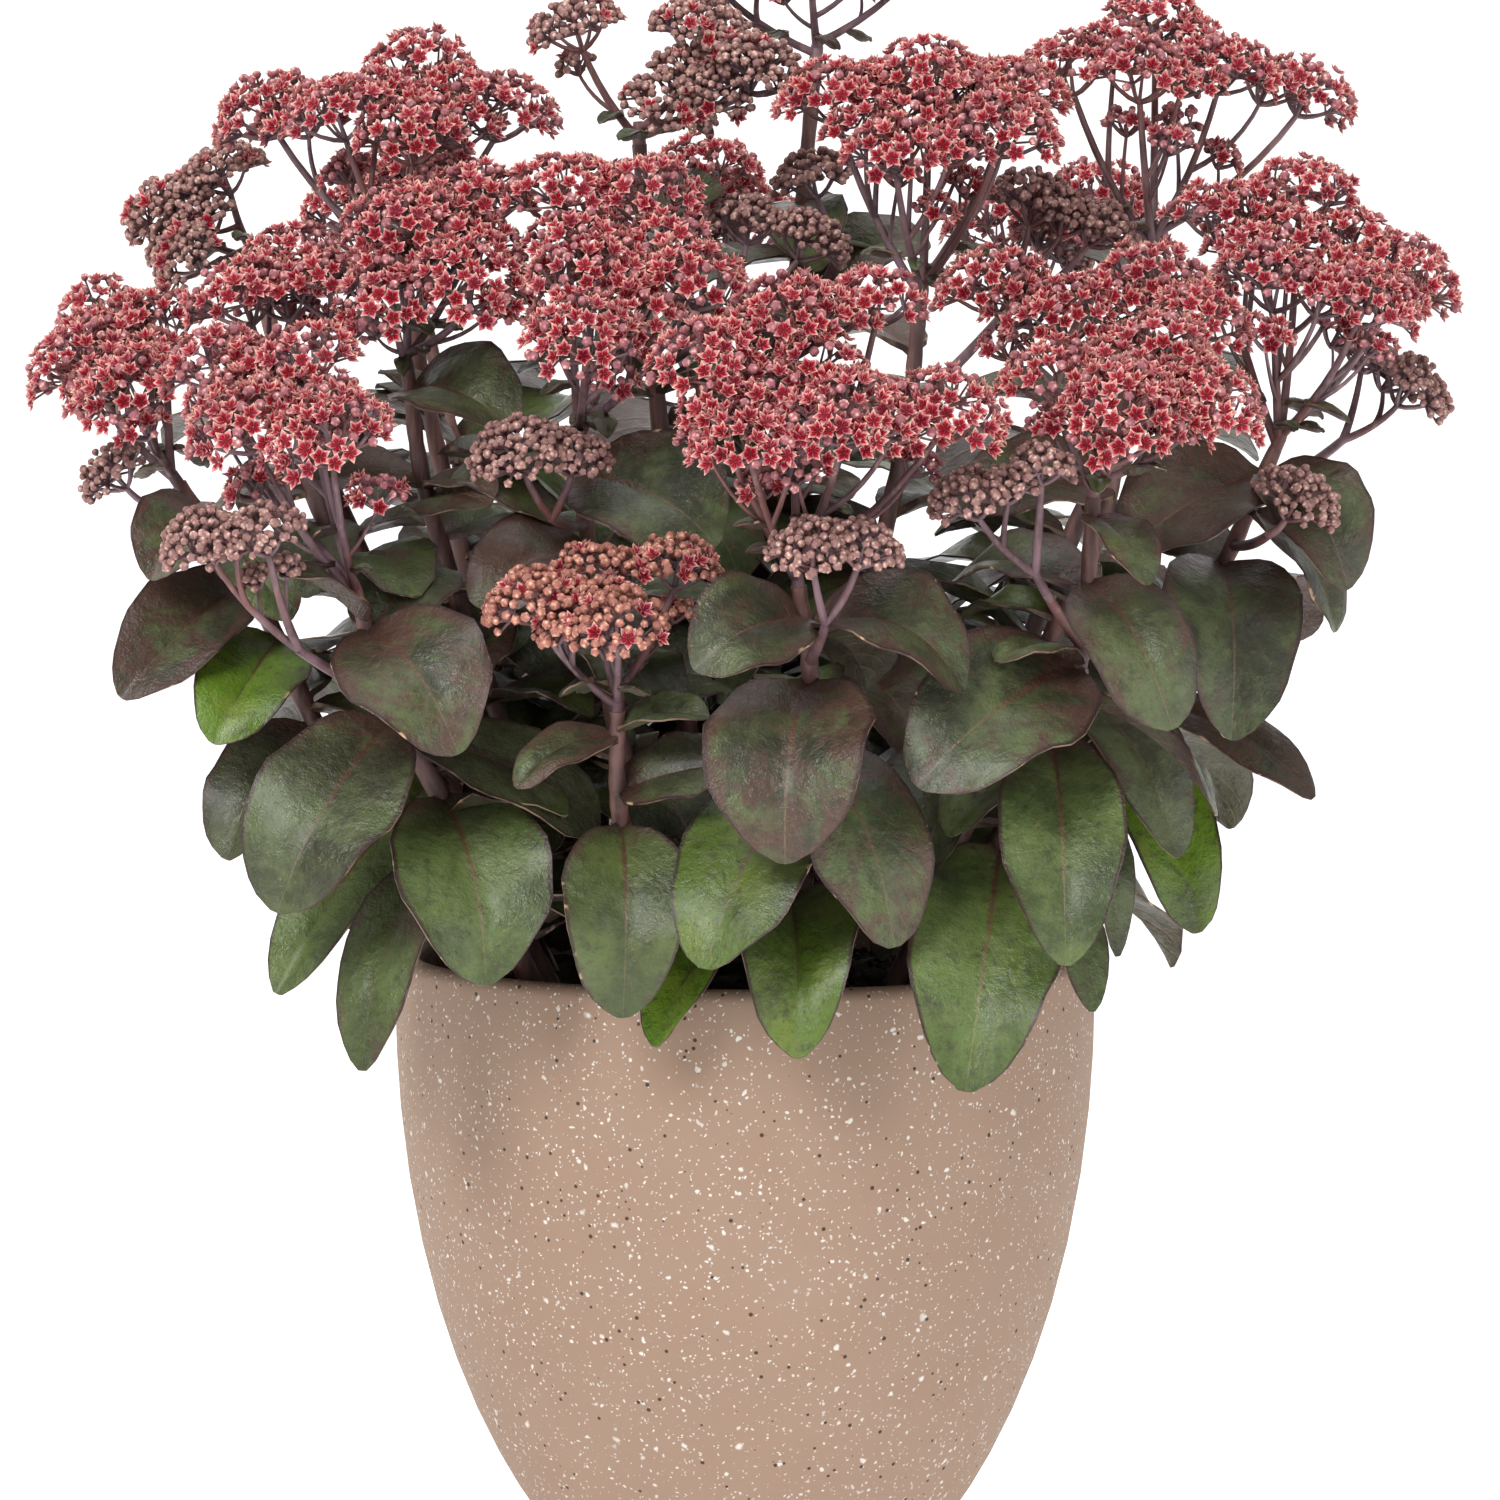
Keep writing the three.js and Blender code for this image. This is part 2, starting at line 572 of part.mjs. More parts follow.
// One fleshy blade: a cupped, arched lens with a lightly waved edge, whole or from a later step on.
function blade(root, leaf, bend, extra = 0, first = 0) {
  const { chord, side, face } = leafFrame(root, leaf, bend);
  const long = chord.length();
  const half = (leaf.wide / 2) * bend[2] + extra;
  const thick = leafThickness / 2 + extra;
  const steps = leaf.wide < leafShape.broad || leaf.plain ? leafShape.plainSteps : leafShape.steps;
  const skin = new Skin();
  let last = null;
  steps.forEach((t, i) => {
    if (i < first) return;
    const bow = leaf.arch * long * 4 * t * (1 - t);
    const middle = root.clone().addScaledVector(chord, t).addScaledVector(face, bow);
    const reach = half * outline(t);
    const wave = i > 1 ? (leaf.wide / 2) * leafShape.wave * (i % 2 ? 1 : -1) : 0;
    const edge = (sign) => {
      const lift = reach * leafShape.cup + sign * wave;
      return middle.clone().addScaledVector(side, sign * reach).addScaledVector(face, lift);
    };
    const ridge = middle.clone().addScaledVector(face, thick);
    const keel = middle.clone().addScaledVector(face, -thick);
    const loop = skin.loop(i ? [edge(-1), ridge, edge(1), keel] : [edge(-1), edge(1), keel]);
    const [left, right] = [loop[0], loop.at(-2)];
    const section = { left, ridge: i ? loop[1] : undefined, right, keel: loop.at(-1) };
    if (last) bladeSides(skin, last, section);
    else skin.cap([...loop].reverse());
    last = section;
  });
  const tip = root.clone().add(chord).addScaledVector(chord.clone().normalize(), extra);
  skin.fan([last.left, last.ridge, last.right, last.keel], tip);
  return skin.solid();
}

// The leaves of a stem: the ones placed one by one, then crossed pairs on its lower part.
function leavesOf(stem, curve, seed) {
  const { wide, roll, arch } = whorlLeaf;
  const pairs = Array.from({ length: stem.whorls.pairs * 2 }, (_, n) => {
    const pair = Math.floor(n / 2);
    const at = stem.whorls.from + pair * whorlLeaf.rise;
    const astray = whorlSpread.heading * (scatter(seed, n) - 0.5);
    const heading = degrees(stem.whorls.heading + 180 * (n % 2) + 90 * pair + astray);
    const fall = degrees(whorlLeaf.fall + whorlSpread.fall * scatter(seed + 50, n));
    const long = whorlLeaf.long * (whorlSpread.shortest + whorlSpread.longer * scatter(seed + 90, n));
    const root = pointAt(curve, at);
    const tip = [
      root.x + Math.sin(heading) * Math.cos(fall) * long,
      root.y - Math.cos(heading) * Math.cos(fall) * long,
      root.z - Math.sin(fall) * long,
    ];
    return { at, tip, wide, roll, arch, plain: true };
  });
  return { placed: stem.leaves, pairs };
}

// An open star: pointed petals round a sunk middle, grown from a loop of the hub.
function star(skin, base, centre, facing, radius) {
  const { petals, lift, notch: depth } = starShape;
  const tips = ring(centre.clone().addScaledVector(facing, radius * lift), facing, radius, petals);
  const notches = ring(centre, facing, radius * depth, petals, Math.PI / petals);
  const tipLoop = skin.loop(tips);
  const notchLoop = skin.loop(notches);
  skin.bridge(base, tipLoop.flatMap((tip, i) => [tip, notchLoop[i]]));
  skin.cap(notchLoop);
  notchLoop.forEach((notch, i) => {
    const next = (i + 1) % petals;
    skin.faces.push(notch, tipLoop[next], notchLoop[next]);
  });
}

// A closed bud: widest above its middle, with a blunt point.
function bud(skin, base, centre, facing, radius) {
  const waist = skin.loop(ring(centre, facing, radius, budShape.sides));
  skin.bridge(base, waist);
  skin.fan(waist, centre.clone().addScaledVector(facing, radius * budShape.point));
}

// One lobe of a head: a branch from the fork to a three-sided hub, with florets on the hub's faces.
function lobe(fork, [x, y, z, radius], open) {
  const centre = vec([x, y, z]);
  const reach = centre.clone().sub(fork);
  const axis = reach.clone().normalize().addScaledVector(up, hubShape.lean).normalize();
  const hub = centre.clone().addScaledVector(axis, -lobeShape.hub * radius);
  const hubTop = hub.clone().addScaledVector(axis, hubShape.rise);
  const skin = new Skin();
  const bottom = skin.loop(ring(fork, hub.clone().sub(fork).normalize(), branchRadius.fork, 3));
  const low = skin.loop(ring(hub, axis, branchRadius.hub, 3));
  const high = skin.loop(ring(hubTop, axis, branchRadius.hub * hubShape.flare, 3));
  skin.cap([...bottom].reverse());
  skin.bridge(bottom, low);
  const floret = open ? star : bud;
  const size = radius * (open ? lobeShape.star : lobeShape.bud);
  floret(skin, high, centre.clone().addScaledVector(axis, radius * lobeShape.top), axis, size);
  for (let i = 0; i < 3; i++) {
    const next = (i + 1) % 3;
    const face = [low[i], low[next], high[next], high[i]];
    if (i === 2 && radius < lobeShape.broad) {
      skin.cap(face);
      break;
    }
    const outward = skin.points[high[i]].clone().add(skin.points[high[next]]).multiplyScalar(0.5);
    outward.sub(hub).addScaledVector(axis, -outward.dot(axis)).normalize();
    const place = centre.clone().addScaledVector(outward, radius * lobeShape.reach);
    place.addScaledVector(axis, -radius * lobeShape.drop);
    const facing = place.clone().sub(hub).normalize().addScaledVector(axis, hubShape.splay).normalize();
    floret(skin, face, place, facing, size);
  }
  return skin.solid();
}

// A whole head: its lobes joined in a short collar at the fork.
function head(curve, lobes, open) {
  const fork = curve.getPoint(1);
  const leaning = curve.getTangent(1);
  const start = fork.clone().addScaledVector(leaning, jointGap);
  const along = (d) => start.clone().addScaledVector(leaning, d);
  const base = new THREE.LineCurve3(start, along(collar.length));
  return joined([
    tube(base, stemSize.top, stemSize.top * collar.taper, stemSize.sides, 1),
    ...lobes.map((one, i) => lobe(along((collar.length * (i + 1)) / (lobes.length + 1)), one, open)),
  ]);
}

// A side shoot starts just off the stem's surface, bends upwards and forks into bud lobes.
function shoot(curve, carrier, one) {
  const root = pointAt(curve, one.at);
  const bend = vec(one.bend);
  const out = bend.clone().sub(root).normalize();
  const twig = (from, extra) => {
    const line = new THREE.LineCurve3(root.clone().addScaledVector(out, from - extra), bend);
    return tube(line, shootSize.radius + extra, shootSize.radius + extra, shootSize.sides, 1);
  };
  let from = 1;
  while (twig(from, jointGap).intersect(carrier).volume() > 0) from += 0.1;
  const fork = bend.clone().addScaledVector(out, -1.5);
  return joined([twig(from, 0), ...one.lobes.map((l) => lobe(fork, l, false))]);
}

function lathe(profile, sides) {
  const points = profile.map(([r, z]) => new THREE.Vector2(r, z));
  return solidOf(new THREE.LatheGeometry(points, sides).rotateX(Math.PI / 2));
}

// Radius of the pot's outside at a height.
const potRadius = (z) => pot.rim * Math.sqrt(1 - (Math.max(pot.wide - z, 0) / pot.bow) ** 2);

// The inside wall from the floor up to the soil's edge, which the soil follows too.
const insideWall = [pot.floor + pot.cove, 48, 100, soil.level].map((z) => [potRadius(z) - pot.wall, z]);

function potProfile() {
  const outside = pot.rings.map((z) => [potRadius(z), z]);
  const foot = [potRadius(0) - pot.bevel, 0];
  const lip = [[pot.rim - pot.wall * 0.25, pot.height], [pot.rim - pot.wall * 0.75, pot.height]];
  const floor = [[insideWall[0][0] - pot.cove, pot.floor], [0, pot.floor]];
  return [[0, 0], foot, ...outside, ...lip, ...[...insideWall].reverse(), ...floor];
}

function soilProfile() {
  const floor = pot.floor + soil.gap;
  const wall = insideWall.map(([r, z]) => [r - soil.gap * 1.5, z]);
  return [[0, floor], [wall[0][0] - pot.cove, floor], ...wall, [0, soil.level + soil.crown]];
}

const plant = new THREE.Group();

function add(name, solid, colour, roughness) {
  const material = new THREE.MeshStandardMaterial({ color: colour, roughness, metalness: 0 });
  const mesh = new THREE.Mesh(geometryOf(solid), material);
  mesh.name = name;
  plant.add(mesh);
}

const curves = Object.fromEntries(stems.map((stem) => [stem.name, stemCurve(stem)]));
const bareStems = Object.fromEntries(stems.map((stem) => [stem.name, stemTube(curves[stem.name], 0)]));
const blooms = [
  ...heads.map(({ stem, lobes, open }) => ({
    name: stem + "_head",
    body: head(curves[stem], lobes, open),
    open,
  })),
  ...shoots.map((one) => ({
    name: one.name,
    body: shoot(curves[one.stem], bareStems[one.stem], one),
    open: false,
  })),
];
const potBody = lathe(potProfile(), pot.sides);
const sockets = stems.map((stem) => stemTube(curves[stem.name], socketGap));
const soilBody = lathe(soilProfile(), pot.sides).subtract(wasm.Manifold.union(sockets));

// Leaves are set one after another, and each takes the first bend that clears all that is already there.
const taken = [
  { owner: "pot", body: potBody },
  { owner: "soil", body: soilBody },
  ...stems.map((stem) => ({ owner: stem.name, body: bareStems[stem.name] })),
  ...blooms.map((b) => ({ owner: b.name, body: b.body })),
].map((one) => ({ ...one, box: one.body.boundingBox() }));

function meets(a, b) {
  return [0, 1, 2].every((i) => a.min[i] <= b.max[i] && b.min[i] <= a.max[i]);
}

// A leaf may touch its own stem and, at its neck, the leaves that grow beside it.
function isClear(stem, root, leaf, bend) {
  const whole = blade(root, leaf, bend, leafGap);
  const pastNeck = blade(root, leaf, bend, leafGap, 1);
  const box = whole.boundingBox();
  return taken.every(({ owner, body, box: other }) => {
    if (owner === stem.name || !meets(box, other)) return true;
    const tested = owner === stem.name + " leaf" ? pastNeck : whole;
    return tested.intersect(body).volume() < 1e-6;
  });
}

const leavesByStem = Object.fromEntries(stems.map((stem) => [stem.name, []]));

function settle(stem, leaf) {
  const root = pointAt(curves[stem.name], leaf.at);
  const bend = bends.find((b) => isClear(stem, root, leaf, b));
  if (!bend) return;
  const body = blade(root, leaf, bend);
  leavesByStem[stem.name].push(body);
  taken.push({ owner: stem.name + " leaf", body, box: body.boundingBox() });
}

const allLeaves = stems.map((stem, i) => ({ stem, ...leavesOf(stem, curves[stem.name], i + 1) }));
allLeaves.forEach(({ stem, placed }) => placed.forEach((leaf) => settle(stem, leaf)));
allLeaves.forEach(({ stem, pairs }) => pairs.forEach((leaf) => settle(stem, leaf)));

add("pot", potBody, 0xb59b86, 0.7);
add("soil", soilBody, 0x2a211b, 1);
stems.forEach(({ name }) => {
  add(name + "_stem", joined([bareStems[name], ...leavesByStem[name]]), 0x46503f, 0.55);
});
blooms.forEach(({ name, body, open }) => add(name, body, open ? 0xb8605f : 0x8a5f57, 0.7));

export default plant;
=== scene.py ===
# Potted dark-leaved stonecrop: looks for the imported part. Lengths in the tables are millimetres.
import bpy
import math
import random
import numpy as np
from mathutils import Matrix, Quaternion, Vector, noise
from mathutils.bvhtree import BVHTree


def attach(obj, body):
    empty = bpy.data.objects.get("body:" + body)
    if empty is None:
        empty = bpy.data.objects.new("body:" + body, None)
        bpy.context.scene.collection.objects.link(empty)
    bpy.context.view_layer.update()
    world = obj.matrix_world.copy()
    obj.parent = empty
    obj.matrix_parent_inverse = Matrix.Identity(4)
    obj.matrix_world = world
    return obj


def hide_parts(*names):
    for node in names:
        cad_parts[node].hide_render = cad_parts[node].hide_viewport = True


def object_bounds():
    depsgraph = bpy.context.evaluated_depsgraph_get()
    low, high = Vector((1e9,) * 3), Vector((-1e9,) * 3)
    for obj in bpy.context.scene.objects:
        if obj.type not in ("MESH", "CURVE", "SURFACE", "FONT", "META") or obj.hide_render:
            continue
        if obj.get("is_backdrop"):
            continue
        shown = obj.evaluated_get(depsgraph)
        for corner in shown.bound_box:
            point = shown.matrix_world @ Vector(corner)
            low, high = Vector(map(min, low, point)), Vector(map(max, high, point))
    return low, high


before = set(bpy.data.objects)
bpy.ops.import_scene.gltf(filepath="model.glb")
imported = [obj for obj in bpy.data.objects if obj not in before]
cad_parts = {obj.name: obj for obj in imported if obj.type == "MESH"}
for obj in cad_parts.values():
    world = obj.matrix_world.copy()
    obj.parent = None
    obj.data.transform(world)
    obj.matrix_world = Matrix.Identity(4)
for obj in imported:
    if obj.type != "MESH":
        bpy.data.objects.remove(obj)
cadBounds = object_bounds()
mm = 0.001
up = Vector((0, 0, 1))
print("frame loaded:", len(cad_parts), "nodes")

# Leafy stems: foot, bends and fork; height of the lowest plain pair, how many pairs and heading; and leaves.
# A leaf is height on the stem, tip and width, with roll and arch where they aren't 0 and 0.16.
stems = {
    "front_left": ([(-62, -58, 186), (-104, -98, 281), (-121, -112, 311), (-131, -119, 350)], (232, 0, 200), [
        (281, -87, -146, 224, 54, 10), (309, -158, -152, 250, 52, 25, 0.12), (340, -96, -156, 303, 52, 30),
        (266, -131, -142, 195, 34, 0, 0.14), (303, -50, -108, 272, 40, 35, 0.1),
        (336, -104, -84, 362, 36, 20), (343, -150, -142, 372, 18, 20, 0.1),
    ]),
    "left": ([(-82, -14, 186), (-146, -25, 290), (-172, -28, 346), (-199, -30, 386)], (246, 1, 255), [
        (378, -206, -66, 354, 30, 20, 0.2), (352, -216, -72, 314, 38, 35, 0.1),
        (330, -184, -74, 298, 38, 20), (300, -181, -58, 256, 36, 15, 0.14),
        (366, -158, -66, 340, 28, 20, 0.15), (345, -196, 22, 322, 36), (308, -177, 41, 282, 38),
    ]),
    "left_inner": ([(-58, -32, 186), (-112, -56, 300), (-146, -72, 376), (-154, -76, 408)], (262, 1, 150), [
        (286, -160, -112, 216, 36, 25, 0.1), (372, -150, -112, 352, 30, 0, 0.2),
        (384, -186, -52, 372, 30, 25, 0.14),
    ]),
    "far_left": ([(-62, 24, 186), (-128, 48, 330), (-166, 56, 420), (-178, 60, 462)], (254, 3, 230), [
        (380, -176, 4, 372, 34), (350, -186, 78, 336, 38),
    ]),
    "upper_left": ([(-34, 12, 186), (-84, 8, 300), (-108, 4, 390), (-122, 2, 462)], (306, 2, 320), [
        (408, -160, 20, 400, 34), (356, -92, 62, 350, 38),
    ]),
    "middle_left": ([(-38, -30, 186), (-84, -46, 300), (-110, -54, 380), (-117, -58, 426)], (282, 1, 340), [
        (418, -80, -96, 410, 42, 30), (386, -160, -66, 384, 30, 25, 0.12),
        (380, -88, -88, 382, 34, 30, 0.12), (336, -98, -96, 318, 40),
    ]),
    "centre_left": ([(-18, -44, 186), (-44, -64, 300), (-54, -72, 366), (-57, -76, 400)], (290, 1, 45), [
        (391, -10, -104, 370, 52, 40, 0.12), (364, -92, -112, 350, 42, 30, 0.18),
        (384, -84, -36, 396, 36, 0, 0.2), (330, -30, -114, 312, 36),
    ]),
    "low_front": ([(-26, -72, 186), (-38, -108, 250), (-43, -124, 284), (-43, -130, 314)], (228, 0, 60), [
        (274, -41, -154, 213, 44, 0, 0.2), (285, -3, -134, 296, 30, 45, 0.08),
        (304, -77, -150, 290, 22, 25), (307, -12, -146, 313, 19, 30, 0.1),
    ]),
    "centre_front": ([(10, -64, 186), (18, -108, 276), (22, -132, 324), (18, -140, 357)], (228, 0, 110), [
        (323, 13, -176, 268, 57, 0, 0.2), (345, -17, -166, 331, 40, 40, 0.2),
        (341, 70, -160, 322, 44, 30, 0.3), (284, -9, -160, 222, 50, 10), (246, 18, -158, 200, 42, 0, 0.22),
        (303, 51, -158, 238, 47, 10), (234, -30, -140, 200, 32, 0, 0.2), (289, -33, -114, 240, 26, 0, 0.14),
        (338, 42, -86, 318, 38, 0, 0.18),
    ]),
    "right_front": ([(54, -58, 186), (100, -96, 290), (114, -114, 330), (118, -120, 386)], (226, 0, 30), [
        (327, 58, -158, 291, 56, 40, 0.14), (356, 143, -158, 312, 38, 25, 0.18),
        (302, 107, -164, 231, 43, 0, 0.14), (262, 74, -164, 190, 52, 10), (258, 119, -128, 213, 26),
        (318, 161, -138, 282, 26, -20, 0.1), (378, 135, -152, 360, 24, 0, 0.14),
        (352, 72, -92, 358, 34, 20),
    ]),
    "middle_right": ([(44, -22, 186), (92, -38, 300), (120, -46, 360), (131, -52, 398)], (250, 1, 10), [
        (384, 72, -72, 378, 42, 34), (300, 64, -106, 246, 40, 0, 0.14), (320, 150, -96, 264, 36, 15),
        (290, 131, -88, 229, 22, 0, 0.2), (372, 152, -6, 362, 38, 0, 0.2),
    ]),
    "right": ([(78, -14, 186), (130, -20, 290), (166, -24, 352), (187, -22, 398)], (246, 1, 110), [
        (356, 168, -88, 303, 50, 10, 0.2), (388, 130, -58, 370, 46, 36, 0.12),
        (388, 206, -62, 358, 38, 25, 0.24), (376, 208, -30, 334, 34, 20),
        (308, 199, -50, 277, 28, 25, 0.12), (296, 157, -76, 233, 34, 10, 0.14),
        (302, 176, 22, 262, 36, 0, 0.14), (350, 200, 32, 330, 40),
    ]),
    "upper_middle": ([(20, -2, 186), (40, -8, 320), (56, -14, 400), (62, -18, 450)], (316, 2, 20), [
        (430, 24, 26, 436, 36), (402, 22, -62, 396, 38, 25, 0.18), (372, 88, 32, 366, 38),
    ]),
    "upper_right": ([(50, 28, 186), (104, 34, 330), (136, 34, 410), (146, 34, 466)], (284, 3, 78), [
        (424, 182, 58, 420, 36), (452, 120, 72, 462, 30),
    ]),
    "top_left": ([(-12, 30, 186), (-24, 40, 330), (-34, 40, 440), (-38, 38, 505)], (332, 2, 350), [
        (470, -8, 12, 488, 30, 50, 0.12), (420, -82, 46, 424, 36),
    ]),
    "top_back": ([(6, 46, 186), (14, 74, 380), (20, 84, 470), (26, 88, 536)], (336, 2, 120), [
        (452, 62, 60, 470, 34, 40, 0.12), (400, -26, 110, 396, 38),
    ]),
    "back_left": ([(-52, 58, 186), (-92, 100, 330), (-120, 134, 440)], (262, 3, 170), [
        (404, -160, 166, 378, 46, 0, 0.18), (420, -78, 172, 400, 42, 0, 0.18),
    ]),
    "back": ([(-2, 76, 186), (-10, 130, 330), (-16, 160, 436)], (258, 3, 200), [
        (400, -54, 208, 374, 46, 0, 0.18), (416, 28, 200, 394, 44, 0, 0.18),
    ]),
    "back_right": ([(56, 58, 186), (96, 102, 330), (122, 134, 430)], (262, 3, 215), [
        (394, 84, 184, 370, 44, 0, 0.18), (410, 170, 158, 388, 44, 0, 0.18),
    ]),
}

# Heads: the stem that carries it, and each lobe as x, y, z and radius.
heads = {
    "front_left": [
        (-170, -138, 415, 19), (-141, -152, 412, 20), (-152, -116, 435, 18), (-184, -104, 434, 16),
    ],
    "left": [(-236, -20, 432, 19), (-215, -52, 424, 19), (-208, -8, 446, 17), (-234, 20, 450, 13)],
    "left_inner": [(-176, -62, 456, 18), (-144, -62, 460, 19), (-160, -34, 470, 15)],
    "far_left": [(-214, 58, 484, 14), (-190, 52, 498, 14), (-204, 40, 466, 13)],
    "upper_left": [
        (-174, 24, 520, 18), (-146, -4, 520, 18), (-118, -14, 512, 18), (-118, 30, 537, 17),
        (-86, 10, 521, 19),
    ],
    "middle_left": [(-118, -74, 482, 19), (-122, -96, 456, 17), (-90, -58, 490, 17), (-92, -98, 462, 20)],
    "centre_left": [
        (-62, -80, 492, 20), (-34, -82, 492, 18), (-52, -114, 464, 20), (-54, -140, 444, 18),
        (-16, -116, 462, 18),
    ],
    "low_front": [(-74, -144, 355, 14), (-43, -156, 348, 15), (-54, -132, 366, 11), (-22, -124, 366, 14)],
    "centre_front": [
        (-14, -164, 437, 18), (0, -184, 412, 17), (16, -150, 452, 19), (34, -180, 420, 20),
        (46, -140, 456, 15), (70, -162, 420, 18),
    ],
    "right_front": [(104, -138, 430, 17), (130, -154, 420, 20), (160, -136, 422, 17), (144, -116, 440, 16)],
    "middle_right": [(84, -50, 460, 18), (110, -66, 450, 18), (144, -52, 462, 18), (160, -82, 448, 15)],
    "right": [
        (168, -6, 484, 17), (188, -34, 462, 20), (200, 4, 492, 17), (220, -42, 454, 17),
        (236, -10, 462, 19),
    ],
    "upper_middle": [
        (30, -26, 526, 18), (52, -56, 506, 16), (66, -20, 532, 20), (92, -42, 514, 18), (98, -8, 528, 16),
    ],
    "upper_right": [
        (116, 24, 536, 17), (142, 12, 534, 18), (150, 50, 554, 16), (174, 30, 536, 17), (206, 42, 526, 16),
    ],
    "top_left": [(-62, 28, 550, 15), (-26, 14, 522, 15), (-14, 30, 548, 17), (8, 14, 534, 16)],
    "top_back": [(-18, 78, 576, 17), (24, 70, 578, 17), (70, 86, 582, 17)],
    "back_left": [(-148, 150, 486, 20), (-112, 166, 488, 20), (-122, 122, 502, 18)],
    "back": [(-38, 176, 482, 20), (2, 186, 480, 20), (-14, 146, 500, 18)],
    "back_right": [(96, 152, 478, 20), (140, 164, 474, 20), (134, 122, 490, 18)],
}

# Heads in bud: the share of open stars and the size of the buds.
closedHeads = {"far_left": (0.05, 3.0), "low_front": (0.12, 3.5), "top_left": (0.08, 3.1)}

# Side shoots: the stem, the height that it leaves at, its bend and its lobes.
shoots = {
    "front_left_shoot": ("front_left", 319, (-150, -146, 336), [
        (-184, -152, 376, 13), (-162, -158, 378, 13),
    ]),
    "left_shoot": ("left", 363, (-206, -20, 376), [(-224, -24, 392, 12)]),
    "centre_left_shoot": ("centre_left", 374, (-66, -104, 378), [
        (-78, -118, 404, 15), (-58, -112, 402, 12),
    ]),
    "centre_front_shoot": ("centre_front", 331, (27, -164, 346), [
        (22, -178, 374, 13), (40, -170, 374, 12),
    ]),
    "right_front_shoot": ("right_front", 335, (97, -150, 362), [(75, -154, 390, 13), (100, -152, 400, 10)]),
    "right_shoot": ("right", 364, (182, -62, 370), [(193, -66, 385, 14)]),
    "far_right_shoot": ("right", 381, (214, 12, 400), [(240, 8, 421, 14), (224, 24, 432, 11)]),
    "upper_middle_shoot": ("upper_middle", 412, (92, 5, 445), [(104, 8, 488, 15), (128, 8, 478, 13)]),
    "top_left_shoot": ("top_left", 424, (-6, 18, 444), [(2, 20, 480, 13), (24, 18, 474, 14)]),
    "top_back_shoot": ("top_back", 430, (36, 60, 470), [(24, 56, 496, 13)]),
}

# The ways a leaf could bend to stay clear: lift and turn in degrees, and share of its length.
bends = [
    (0, 0, 1), (8, 0, 1), (-8, 0, 1), (0, 10, 1), (0, -10, 1), (15, 0, 1), (-15, 0, 1), (8, 12, 1),
    (8, -12, 1), (-8, 12, 1), (-8, -12, 1), (0, 22, 1), (0, -22, 1), (24, 0, 0.95), (-24, 0, 0.95),
    (0, 0, 0.85), (14, 14, 0.85), (14, -14, 0.85), (-14, 14, 0.85), (-14, -14, 0.85), (0, 30, 0.8),
    (0, -30, 0.8), (30, 10, 0.75), (30, -10, 0.75),
]

# Where the leaves are fresh green, seen from the front: x, z and reach.
brightLeaves = [
    (15, 232, 26), (-2, 256, 16), (-21, 214, 22), (149, 262, 22), (134, 256, 18), (-172, 316, 20),
    (60, 236, 14),
]


def scatter(i, j=0):
    s = math.sin(i * 12.9898 + j * 78.233) * 43758.5453
    return s - math.floor(s)


def deselectAll():
    for item in bpy.context.selected_objects:
        item.select_set(False)


def activate(*items):
    deselectAll()
    for item in items:
        item.select_set(True)
    bpy.context.view_layer.objects.active = items[0]


def joinAs(name, items):
    activate(*items)
    if len(items) > 1:
        bpy.ops.object.join()
    piece = bpy.context.view_layer.objects.active
    piece.name = name
    piece.data.name = name
    return piece


def applyAll(piece):
    activate(piece)
    for modifier in list(piece.modifiers):
        bpy.ops.object.modifier_apply(modifier=modifier.name)


def newObject(name, mesh):
    piece = bpy.data.objects.new(name, mesh)
    bpy.context.scene.collection.objects.link(piece)
    return piece


# Materials
def colour(red, green, blue):  # 0 to 255 as seen on screen
    linear = [((c / 255 + 0.055) / 1.055) ** 2.4 if c > 10 else c / 255 / 12.92 for c in (red, green, blue)]
    return (*linear, 1)


